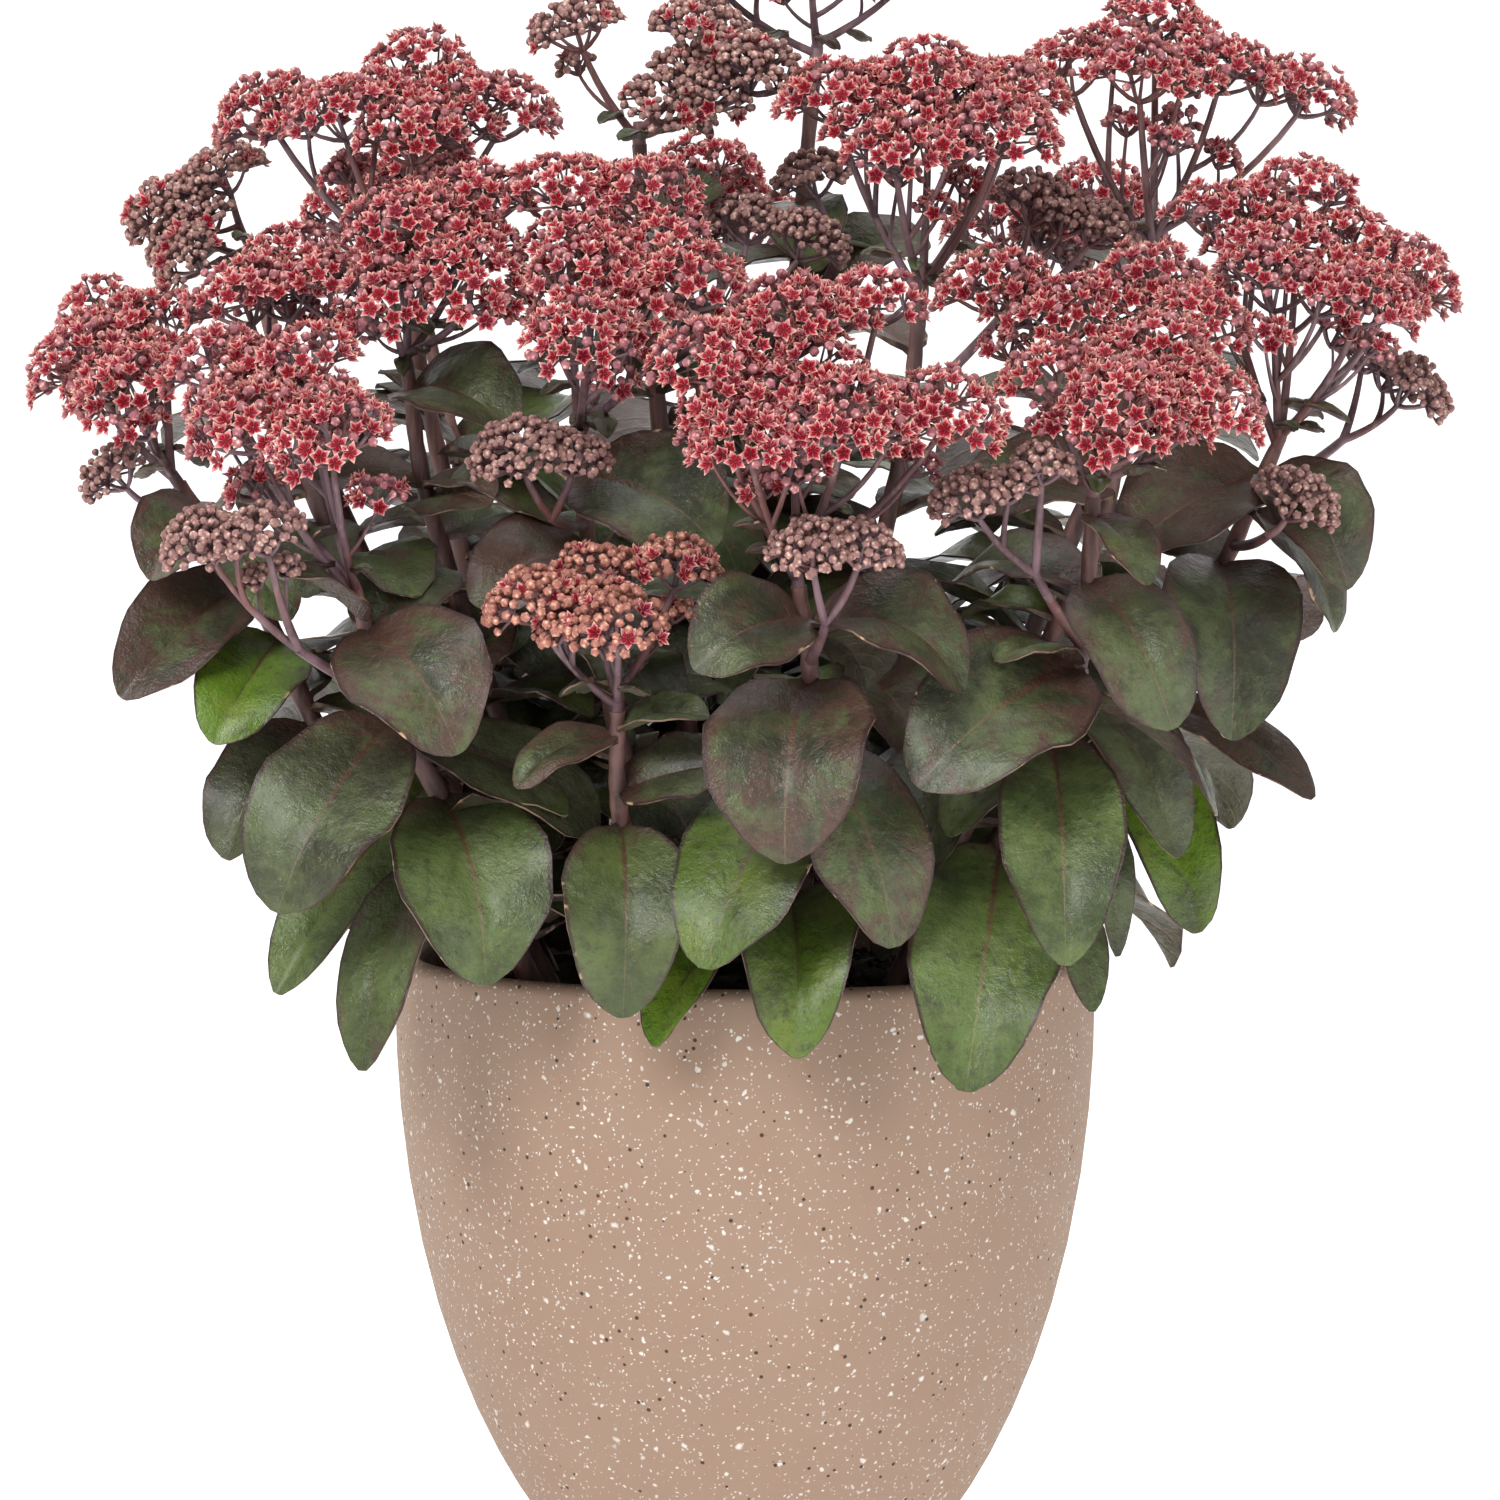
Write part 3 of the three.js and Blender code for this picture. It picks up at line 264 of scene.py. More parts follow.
class Shader:
    def __init__(self, name, roughness, specular):
        self.material = bpy.data.materials.new(name)
        self.material.use_nodes = True
        self.tree = self.material.node_tree
        self.surface = self.tree.nodes["Principled BSDF"]
        self.give(self.surface, {"Roughness": roughness, "Specular IOR Level": specular})
        self.place = self.node("ShaderNodeTexCoord", {}).outputs["Object"]

    def give(self, node, inputs):  # each input is a value or another node's socket
        for key, value in inputs.items():
            if isinstance(value, bpy.types.NodeSocket):
                self.tree.links.new(value, node.inputs[key])
            else:
                node.inputs[key].default_value = value

    def node(self, kind, inputs, **settings):
        made = self.tree.nodes.new(kind)
        for key, value in settings.items():
            setattr(made, key, value)
        self.give(made, inputs)
        return made

    def stretched(self, scale):
        return self.node("ShaderNodeMapping", {"Vector": self.place, "Scale": scale}).outputs["Vector"]

    def noise(self, scale, detail=4, rough=0.55, at=None, distort=0):  # scale is in waves a metre
        inputs = {"Scale": scale, "Detail": detail, "Roughness": rough, "Distortion": distort}
        return self.node("ShaderNodeTexNoise", {"Vector": at or self.place, **inputs}).outputs["Fac"]

    def cells(self, scale, at=None):
        return self.node("ShaderNodeTexVoronoi", {"Vector": at or self.place, "Scale": scale}).outputs

    def dots(self, scale):  # the distance from the middle of each dot
        return self.cells(scale)["Distance"]

    def channels(self, shade):
        outputs = self.node("ShaderNodeSeparateColor", {"Color": shade}).outputs
        return outputs["Red"], outputs["Green"], outputs["Blue"]

    def range(self, value, low, high, to=(0, 1)):
        inputs = {"Value": value, "From Min": low, "From Max": high, "To Min": to[0], "To Max": to[1]}
        return self.node("ShaderNodeMapRange", inputs, interpolation_type="SMOOTHSTEP").outputs["Result"]

    def reckon(self, operation, a, b=0.0):
        return self.node("ShaderNodeMath", {0: a, 1: b}, operation=operation).outputs[0]

    def plus(self, a, b):
        return self.reckon("ADD", a, b)

    def minus(self, a, b):
        return self.reckon("SUBTRACT", a, b)

    def times(self, a, b):
        return self.reckon("MULTIPLY", a, b)

    def mix(self, share, a, b):
        return self.node("ShaderNodeMix", {0: share, 6: a, 7: b}, data_type="RGBA").outputs[2]

    def over(self, below, above, value, start, end, most=1):  # above comes as value goes from start to end
        return self.mix(self.range(value, start, end, (0, most)), below, above)

    def layers(self, shade, *rows):  # each row is a tint, then over's value, start, end and most
        for name, *cover in rows:
            shade = self.over(shade, tint[name], *cover)
        return shade

    def ramp(self, value, stops):
        made = self.node("ShaderNodeValToRGB", {"Fac": value})
        elements = made.color_ramp.elements
        while len(elements) < len(stops):
            elements.new(0.5)
        for element, (position, shade) in zip(elements, stops):
            element.position = position
            element.color = shade
        return made.outputs["Color"]

    def parts(self, name):  # red, green and blue of a stored colour
        return self.channels(self.node("ShaderNodeAttribute", {}, attribute_name=name).outputs["Color"])

    def bump(self, height, strength, distance):
        made = self.node("ShaderNodeBump", {"Height": height, "Strength": strength, "Distance": distance})
        self.give(self.surface, {"Normal": made.outputs["Normal"]})

    def paint(self, shade, **more):
        self.give(self.surface, {"Base Color": shade, **more})
        return self.material


# the tan of the leaf rim and the cream edge patches are partly the leaf's own colour and partly painted
# highlight
screenTint = {
    "green": (92, 105, 64), "deep": (50, 55, 37), "fresh": (104, 142, 24), "purple": (88, 60, 52),
    "wine": (98, 48, 42), "pale": (150, 128, 100), "rim": (58, 36, 36), "creamNickAndHighlight": (204, 170, 134),
    "backGreen": (98, 102, 76), "backPurple": (98, 80, 82), "lime": (150, 160, 60), "dust": (120, 120, 98),
    "pore": (44, 40, 32), "grit": (140, 136, 116), "dull": (52, 44, 34), "rimPaleAndHighlight": (124, 104, 84),
    "stemDark": (76, 52, 50), "stemLight": (134, 96, 88), "stemBloom": (118, 96, 96),
    "stemDot": (156, 128, 112), "branchDark": (82, 58, 62), "branchLight": (128, 102, 110),
    "branchRed": (122, 78, 72), "branchStreak": (160, 132, 130), "petalLight": (220, 152, 150),
    "petalDeep": (194, 108, 120), "petalVein": (168, 78, 98), "petalHeart": (156, 0, 30),
    "petalFoot": (112, 66, 72), "petalEdge": (242, 202, 176), "petalTip": (246, 208, 176),
    "carpelDark": (128, 0, 24), "carpelLight": (190, 4, 44), "carpelOld": (106, 0, 24),
    "stone": (153, 128, 110), "stoneWarm": (159, 134, 116), "stoneStain": (150, 120, 98),
    "speck": (226, 220, 212), "pit": (66, 48, 36), "soilDark": (22, 17, 14), "soilBrown": (44, 34, 27),
    "soilLight": (78, 62, 48), "soilFleck": (92, 76, 58),
}
tint = {name: colour(*parts) for name, parts in screenTint.items()}


def leafMaterial(name, back=False):
    s = Shader(name, 0.4, 0.42)
    chance, fresh, blotch = s.parts("leafTone")
    uv = s.node("ShaderNodeUVMap", {}, uv_map="UVMap")
    x, along, _ = s.node("ShaderNodeSeparateXYZ", {0: uv.outputs["UV"]}).outputs
    across = s.times(s.reckon("ABSOLUTE", s.minus(x, 0.5)), 2)  # 0 on the rib, 1 on the edge
    cloud = s.noise(34, 4, 0.65, distort=0.4)
    fine = s.noise(230, 4, 0.7)
    grain = s.noise(900, 3, 0.65)
    if back:
        stain = s.plus(cloud, s.times(blotch, 0.3))
        shade = s.over(tint["backGreen"], tint["backPurple"], stain, 0.42, 0.78)
    else:
        shade = s.over(tint["deep"], tint["green"], cloud, 0.36, 0.62)
        lush = s.times(fresh, s.range(s.noise(30, 4), 0.2, 0.55))
        shade = s.mix(lush, shade, tint["fresh"])
        shade = s.mix(s.times(lush, s.range(s.noise(52, 3), 0.5, 0.75, (0, 0.5))), shade, tint["lime"])
    spots = s.noise(48, 5, 0.74, distort=0.8)
    base = s.range(along, 0.5, 0.0, (0, 0.34))
    edge = s.range(across, 0.6, 1.0, (0, 0.14))
    stain = s.plus(s.plus(spots, s.plus(base, edge)), s.times(blotch, 0.34))
    purple = s.times(s.range(stain, 0.66, 0.88), s.minus(0.95, s.times(fresh, 0.75)))
    shade = s.mix(purple, shade, tint["purple"])
    ribWidth = s.range(along, 0.0, 0.85, (0.13, 0.02))
    rib = s.range(s.minus(across, s.times(s.minus(fine, 0.5), 0.12)), ribWidth, 0.0)
    ribShade = s.over(tint["wine"], tint["pale"], along, 0.3, 0.9)
    shade = s.mix(s.times(rib, 0.35 if back else s.range(along, 0.0, 1.0, (0.95, 0.5))), shade, ribShade)
    slant = {0: s.times(across, 0.05), 1: s.minus(along, s.times(across, 0.3))}
    slanted = s.node("ShaderNodeCombineXYZ", slant).outputs[0]
    waves = {"Vector": slanted, "Scale": 2.7, "Distortion": 2.6}
    veins = s.node("ShaderNodeTexWave", waves, wave_type="BANDS", bands_direction="Y")
    line = s.range(veins.outputs["Fac"], 0.84, 1.0)
    line = s.times(line, s.range(across, 0.95, 0.3, (0, 0.3 if back else 0.05)))
    shade = s.mix(line, shade, tint["pale"])
    shade = s.layers(
        shade, ("deep", fine, 0.5, 0.7, 0.62), ("dust", fine, 0.46, 0.3, 0.2),
        ("pore", grain, 0.56, 0.7, 0.3), ("grit", grain, 0.44, 0.32, 0.12),
        ("wine", s.dots(380), 0.19, 0.06, 0.7), ("pale", s.dots(260), 0.1, 0.03, 0.5),
        ("rim", across, 0.92, 0.975, 0.9),
    )
    # cream patches at the very edge: partly real nicks and partly painted highlight where the edge catches
    # the light
    creamNickAndHighlight = s.times(s.range(across, 0.92, 0.985), s.range(s.noise(150, 2), 0.67, 0.74))
    shade = s.mix(creamNickAndHighlight, shade, tint["creamNickAndHighlight"])
    shade = s.over(shade, tint["dull"], chance, 0.0, 1.0, 0.38)
    height = s.plus(s.times(fine, 1.1), s.times(s.noise(430, 3, 0.7), 0.9))
    height = s.plus(height, s.times(s.noise(75, 2), 2.0))
    height = s.minus(height, s.times(line, 1.4))
    s.bump(height, 0.62, 0.001)
    s.give(s.surface, {"Coat Weight": 0.12, "Coat Roughness": 0.24})
    return s.paint(shade, Roughness=s.range(s.noise(140, 2), 0.35, 0.65, (0.46, 0.28)))


def rimMaterial():
    s = Shader("leafRim", 0.55, 0.35)
    # the rim's tan patches are partly the leaf's paler margin and partly painted highlight where the edge
    # catches the light
    shade = s.over(tint["rim"], tint["rimPaleAndHighlight"], s.noise(70, 3), 0.42, 0.6)
    # cream patches on the rim: partly real nicks and partly painted highlight
    return s.paint(s.over(shade, tint["creamNickAndHighlight"], s.noise(150, 2), 0.64, 0.72))


def stemMaterial():
    s = Shader("stemSkin", 0.5, 0.4)
    streak = s.noise(170, 4, 0.6, s.stretched((1, 1, 0.12)))
    bloom = ("stemBloom", s.noise(26, 3), 0.42, 0.7, 0.6)
    dots = ("stemDot", s.noise(900, 2), 0.66, 0.74, 0.5)
    s.bump(streak, 0.35, 0.0005)
    return s.paint(s.layers(tint["stemDark"], ("stemLight", streak, 0.35, 0.65), bloom, dots))


def branchMaterial():
    s = Shader("branchSkin", 0.5, 0.4)
    cloud = ("branchLight", s.noise(60, 4), 0.35, 0.65)
    blush = ("branchRed", s.noise(22, 2), 0.46, 0.62, 0.75)
    streak = s.noise(260, 3, 0.6, s.stretched((1, 1, 0.2)))
    return s.paint(s.layers(tint["branchDark"], cloud, blush, ("branchStreak", streak, 0.5, 0.7, 0.4)))


def petalMaterial(name, inside):
    s = Shader(name, 0.55, 0.3)
    along, chance, edge = s.parts("bloomTone")
    pink = s.mix(chance, tint["petalLight"], tint["petalDeep"])
    pink = s.over(pink, tint["petalVein"], s.noise(560, 3, 0.7), 0.44, 0.64, 0.5)
    if inside:
        shade = s.over(pink, tint["petalHeart"], along, 0.62, 0.4)
    else:
        shade = s.over(tint["petalFoot"], pink, along, 0.05, 0.6)
    pale = s.times(s.range(edge, 0.6, 1.0), s.range(along, 0.45, 0.8, (0, 0.55)))
    shade = s.mix(pale, shade, tint["petalEdge"])
    shade = s.over(shade, tint["petalTip"], along, 0.74, 0.98, 0.85)
    return s.paint(shade)


def middleMaterial():
    s = Shader("flowerMiddle", 0.45, 0.4)
    along, chance, _ = s.parts("bloomTone")
    shade = s.mix(along, tint["carpelDark"], tint["carpelLight"])
    return s.paint(s.over(shade, tint["carpelOld"], chance, 0.55, 1.0, 0.75))


def budMaterial(name, low, high, tip):
    s = Shader(name, 0.6, 0.3)
    along, chance, _ = s.parts("bloomTone")
    # cells on the bud: their middles on the upper part take the cream of the petal tips, and their edges take
    # painted shade for the creases between the closed petals
    tipAndCreaseShadeCells = s.dots(560)
    shade = s.over(low, high, along, 0.15, 0.7)
    shade = s.mix(s.times(s.range(tipAndCreaseShadeCells, 0.36, 0.16), s.range(along, 0.4, 0.8, (0, 0.85))), shade, tip)
    # painted shade: darker towards each cell's edge, for shade in the creases between the closed petals
    shade = s.over(shade, low, tipAndCreaseShadeCells, 0.42, 0.56, 0.6)
    return s.paint(s.over(shade, low, chance, 0.5, 1.0, 0.3))


def potMaterial():  # specks in four sizes, each as scale, smallest, largest and share without
    s = Shader("castStone", 0.72, 0.3)
    shade = s.over(tint["stone"], tint["stoneWarm"], s.noise(7, 3), 0.35, 0.65)
    shade = s.over(shade, tint["stoneStain"], s.noise(34, 5), 0.4, 0.75, 0.25)
    warp = s.node("ShaderNodeTexNoise", {"Vector": s.place, "Scale": 260})
    wobble = s.node("ShaderNodeMix", {0: 0.0035, 4: s.place, 5: warp.outputs["Color"]}, data_type="VECTOR")
    specks = 0.0
    sizes = ((95, 0.0, 0.17, 0.6), (210, 0.02, 0.25, 0.46), (380, 0.03, 0.3, 0.36), (700, 0.04, 0.35, 0.3))
    for scale, low, high, share in sizes:
        cell = s.cells(scale, wobble.outputs[1])
        size = s.range(s.channels(cell["Color"])[0], share, 1.0, (low, high))
        specks = s.reckon("MAXIMUM", specks, s.range(s.minus(size, cell["Distance"]), 0.0, 0.1))
    shade = s.mix(s.times(specks, s.range(s.noise(160, 2), 0.3, 0.6, (0.5, 0.9))), shade, tint["speck"])
    cell = s.cells(300)
    size = s.range(s.channels(cell["Color"])[1], 0.68, 1.0, (0.03, 0.26))
    hole = s.range(s.minus(size, cell["Distance"]), 0.0, 0.05)
    shade = s.mix(s.times(hole, 0.95), shade, tint["pit"])
    height = s.minus(s.plus(s.times(s.noise(420, 4), 0.25), s.times(specks, 0.5)), hole)
    s.bump(height, 0.45, 0.0006)
    return s.paint(shade)


def soilMaterial():
    s = Shader("compost", 0.95, 0.15)
    grain = s.noise(260, 6, 0.7)
    shade = s.ramp(grain, [(0.3, tint["soilDark"]), (0.5, tint["soilBrown"]), (0.72, tint["soilLight"])])
    shade = s.over(shade, tint["soilFleck"], s.dots(150), 0.2, 0.08, 0.6)
    s.bump(grain, 0.8, 0.002)
    return s.paint(shade)


leafTop = leafMaterial("leafTop")
leafBack = leafMaterial("leafBack", back=True)
leafRim = rimMaterial()
stemSkin = stemMaterial()
branchSkin = branchMaterial()
petalInside = petalMaterial("petalInside", True)
petalBack = petalMaterial("petalBack", False)
flowerMiddle = middleMaterial()
# each bud's first colour is its dark base and also its painted crease shade
pinkBud = budMaterial("pinkBud", colour(122, 70, 80), colour(194, 126, 130), colour(240, 206, 184))
brownBud = budMaterial("brownBud", colour(116, 84, 82), colour(178, 136, 128), colour(228, 200, 182))
peachBud = budMaterial("peachBud", colour(136, 84, 76), colour(200, 138, 120), colour(242, 200, 170))
castStone = potMaterial()
compost = soilMaterial()
print("materials made")


# Lines and tubes
def linePoint(points, t):
    n = len(points)
    place = (n - 1) * t
    i = min(int(place), n - 2)
    w = place - i
    p1, p2 = points[i], points[i + 1]
    p0 = points[i - 1] if i else p1 * 2 - p2
    p3 = points[i + 2] if i + 2 < n else p2 * 2 - p1
    m1, m2 = (p2 - p0) * 0.5, (p3 - p1) * 0.5
    early = (2 * w**3 - 3 * w**2 + 1) * p1 + (w**3 - 2 * w**2 + w) * m1
    return early + (3 * w**2 - 2 * w**3) * p2 + (w**3 - w**2) * m2


def lineAtHeight(points, height):
    low, high = 0.0, 1.0
    for _ in range(40):
        middle = (low + high) / 2
        if linePoint(points, middle).z < height:
            low = middle
        else:
            high = middle
    return linePoint(points, low)


def tubes(name, runs, roundness, material):  # runs are (points, radii) in millimetres
    data = bpy.data.curves.new(name, "CURVE")
    data.dimensions = "3D"
    data.bevel_depth = mm
    data.bevel_resolution = roundness
    data.use_fill_caps = True
    data.materials.append(material)
    for points, radii in runs:
        spline = data.splines.new("POLY")
        spline.points.add(len(points) - 1)
        for knot, point, radius in zip(spline.points, points, radii):
            knot.co = (*(point * mm), 1)
            knot.radius = radius
    piece = newObject(name, data)
    activate(piece)
    bpy.ops.object.convert(target="MESH")
    bpy.ops.object.shade_smooth()
    return bpy.context.view_layer.objects.active


def bowed(start, end, lift, steps):  # a branch that bows by lift on its way
    points = []
    for i in range(steps + 1):
        t = i / steps
        points.append(start.lerp(end, t) + lift * (4 * t * (1 - t)))
    return points


# Leaves
leafForm = {
    "thick": 2.3, "edge": 0.3, "thinTip": 0.55, "shoulder": 0.06, "groove": 1.1, "ribWide": 2.2,
    "ripple": 0.08, "waves": 2.3, "blunt": (1.7, 2.5), "curl": (-0.015, 0.06), "cup": 0.2,
    "cupVary": (-0.2, 0.18), "lump": (0.3, 1.0), "pillow": (0.3, 1.4), "twist": 0.2, "sway": 0.03,
    "stain": 0.45, "columns": 10,
    "rows": [0, 0.04, 0.08, 0.12, 0.17, 0.23, 0.3, 0.38, 0.47, 0.56, 0.65, 0.73, 0.8, 0.87, 0.93, 0.97, 1.0],
    "smallColumns": 6, "smallRows": [0, 0.06, 0.12, 0.22, 0.35, 0.5, 0.65, 0.8, 0.92, 1.0],
}


def leafTemplate(columns, rows):  # a flat grid with the place of each corner across and along the leaf
    bpy.ops.mesh.primitive_grid_add(x_subdivisions=columns, y_subdivisions=len(rows) - 1, size=2)
    grid = bpy.context.active_object
    points = np.array([tuple(v.co) for v in grid.data.vertices])
    row = np.rint((points[:, 1] + 1) / 2 * (len(rows) - 1)).astype(int)
    return grid, points[:, 0], np.array(rows)[row]


fullLeaf = leafTemplate(leafForm["columns"], leafForm["rows"])
smallLeaf = leafTemplate(leafForm["smallColumns"], leafForm["smallRows"])


def smoothStep(value, low, high):
    t = np.clip((value - low) / (high - low), 0, 1)
    return t * t * (3 - 2 * t)


def halfWidth(t, blunt):  # narrow neck, full shoulders, round or blunt tip
    rise = np.sin(np.pi / 2 * np.clip((t - 0.03) / 0.42, 0, 1)) ** 0.72
    fall = np.sqrt(np.clip(1 - np.clip((t - 0.45) / 0.55, 0, 1) ** blunt, 0.012, 1))
    return 0.13 + (rise * fall - 0.13) * smoothStep(t, 0.05, 0.12)


def turned(vector, axis, angle):
    return Quaternion(axis, math.radians(angle)) @ vector


def leafFrame(root, tip, roll, bend):
    lift, turn, share = bend
    chord = (tip - root) * share
    side = Vector((chord.x, chord.y, 0)).cross(up).normalized()
    chord = turned(turned(chord, side, lift), up, turn)
    side = turned(side, up, turn)
    side = turned(side, chord.normalized(), roll * (1 if chord.x > 0 else -1))
    return chord, side, side.cross(chord).normalized()


def leafBlade(name, template, root, tip, wide, roll, arch, bend, seed, fresh=0.0, blotch=0.5):
    rnd = random.Random(seed)
    chord, side, face = leafFrame(root, tip, roll, bend)
    half = wide / 2 * bend[2]
    grid, u, t = template
    phase, other = rnd.uniform(0, 6.28), rnd.uniform(0, 6.28)
    phases = np.where(u < 0, phase, other)
    wander = 1 + 0.035 * np.sin(9 * t + phases) + 0.018 * np.sin(24 * t + 2 * phases)
    reach = half * halfWidth(t, rnd.uniform(*leafForm["blunt"])) * wander
    curl = rnd.uniform(*leafForm["curl"]) * smoothStep(t, 0.6, 1.0) ** 2
    bow = chord.length * (arch * 4 * t * (1 - t) - curl)
    cup = leafForm["cup"] + rnd.uniform(*leafForm["cupVary"])
    ends = smoothStep(t, 0.12, 0.4) * (1 - smoothStep(t, 0.88, 1.0))
    wave = np.sin(leafForm["waves"] * np.where(u < 0, 6.28, 5.6) * t + phases)
    lift = reach * cup * np.abs(u) ** 1.35 + half * leafForm["ripple"] * wave * np.abs(u) ** 3 * ends
    groove = leafForm["groove"] * np.exp(-((u * reach / leafForm["ribWide"]) ** 2))
    lift -= groove * smoothStep(t, 0.06, 0.2) * (1 - smoothStep(t, 0.7, 0.98))
    lift += leafForm["groove"] * 0.5 * np.sin(np.pi * np.abs(u)) * ends * rnd.uniform(*leafForm["pillow"])
    lift += rnd.uniform(*leafForm["lump"]) * np.sin(7 * t + phase) * np.sin(2.2 * u + other) * ends
    lift += u * reach * rnd.uniform(-leafForm["twist"], leafForm["twist"]) * (t - 0.4)
    sway = chord.length * rnd.uniform(-leafForm["sway"], leafForm["sway"]) * np.sin(np.pi * t)
    along = t - leafForm["shoulder"] * np.abs(u) ** 2 * np.exp(-(((t - 0.16) / 0.14) ** 2))
    points = np.array(root)[None, :] + np.outer(along, chord)
    points += np.outer(bow + lift, face) + np.outer(u * reach + sway, side)
    mesh = grid.data.copy()
    mesh.vertices.foreach_set("co", (points * mm).ravel())
    tone = mesh.color_attributes.new("leafTone", "FLOAT_COLOR", "POINT")
    chance = rnd.random()
    stain = blotch + rnd.uniform(-leafForm["stain"], leafForm["stain"])
    shade = (chance, fresh, min(1.0, max(0.0, stain)), 1)
    tone.data.foreach_set("color", np.tile(shade, len(points)))
    blade = newObject(name, mesh)
    group = blade.vertex_groups.new(name="thick")
    weights = 1 - (1 - leafForm["edge"]) * np.abs(u) ** 1.6 * smoothStep(t, 0.08, 0.25)
    weights *= 1 - leafForm["thinTip"] * smoothStep(t, 0.75, 1.0)
    for i, weight in enumerate(weights):
        group.add([i], float(weight), "REPLACE")
    return blade


def thickenLeaves(piece):
    for material in (leafTop, leafBack, leafRim):
        piece.data.materials.append(material)
    solid = piece.modifiers.new("thickness", "SOLIDIFY")
    solid.thickness = leafForm["thick"] * mm
    solid.offset = 0
    solid.vertex_group = "thick"
    solid.material_offset = 1
    solid.material_offset_rim = 2
    applyAll(piece)
    bpy.ops.object.shade_smooth_by_angle(angle=math.radians(48))
    return piece


pairForm = {
    "step": 35, "turn": 14, "fall": 24, "fallVary": 14, "long": 66, "least": 0.85, "vary": 0.25, "wide": 42,
    "roll": 12, "arch": 0.16,
}


def leafWay(heading, fall):  # degrees round from the front, and degrees down
    heading, fall = math.radians(heading), math.radians(fall)
    return Vector((math.sin(heading) * math.cos(fall), -math.cos(heading) * math.cos(fall), -math.sin(fall)))


def drawnLeaf(line, at, x, y, z, wide, roll=0, arch=0.16):
    return lineAtHeight(line, at), Vector((x, y, z)), wide, roll, arch, False


def stemLeaves(name, seed):  # last is whether the leaf is of a plain pair
    form = pairForm
    line, (lowest, pairs, first), leaves = stems[name]
    line = [Vector(p) for p in line]
    leaves = [drawnLeaf(line, *leaf) for leaf in leaves]
    for n in range(pairs * 2):
        pair = n // 2
        root = lineAtHeight(line, lowest + pair * form["step"])
        heading = first + 180 * (n % 2) + 90 * pair + form["turn"] * (scatter(seed, n) - 0.5)
        way = leafWay(heading, form["fall"] + form["fallVary"] * scatter(seed + 50, n))
        length = form["long"] * (form["least"] + form["vary"] * scatter(seed + 90, n))
        leaves.append((root, root + way * length, form["wide"], form["roll"], form["arch"], True))
    return line, leaves


def bendOnPart(surface, root, tip, wide, roll, arch, plain):  # the bend that the part's own leaf took
    station = 0.42 if plain or wide < 38 else 0.34
    best, nearest = None, 1.2
    for bend in bends:
        chord, side, face = leafFrame(root, tip, roll, bend)
        middle = root + chord * station + face * (arch * chord.length * 4 * station * (1 - station))
        reach = wide / 2 * bend[2] * math.sin(math.pi * (station - 0.04) ** 0.86) ** 0.6
        wave = wide / 40
        worst = surface.find_nearest((root + chord) * mm)[3] / mm
        for sign in (-1, 1):
            edge = middle + side * (sign * reach) + face * (reach * 0.16 + sign * wave * -1)
            worst = max(worst, surface.find_nearest(edge * mm)[3] / mm)
        if worst < nearest:
            best, nearest = bend, worst
    return best


def partSurface(node):
    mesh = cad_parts[node].data
    return BVHTree.FromPolygons([v.co for v in mesh.vertices], [p.vertices for p in mesh.polygons])


straight = (0, 0, 1)
innerForm = {
    "lowest": 222, "step": 19, "belowFork": 36, "long": (38, 60), "slim": (0.62, 0.72), "fall": (-20, 30),
    "front": 8, "back": 40, "roll": 10, "arch": 0.16, "fresh": 0.2,
}


def innerLeaves(line, seed):  # the small crossed pairs that fill the shade between the big leaves
    rnd = random.Random(seed + 500)
    leaves = []
    at, pair = innerForm["lowest"] + rnd.uniform(0, 16), 0
    while at < line[-1].z - innerForm["belowFork"]:
        root = lineAtHeight(line, at)
        first = rnd.uniform(-25, 25) + 90 * (pair % 2) + 40 * seed
        for turn in (0, 180):
            way = leafWay(first + turn, rnd.uniform(*innerForm["fall"]))
            length = rnd.uniform(*innerForm["long"])
            tip = root + way * length
            if tip.xy.length < root.xy.length + innerForm["front"] or tip.y > innerForm["back"]:
                wide = length * rnd.uniform(*innerForm["slim"])
                leaves.append((root, tip, wide, innerForm["roll"], innerForm["arch"]))
        at += innerForm["step"]
        pair += 1
    return leaves


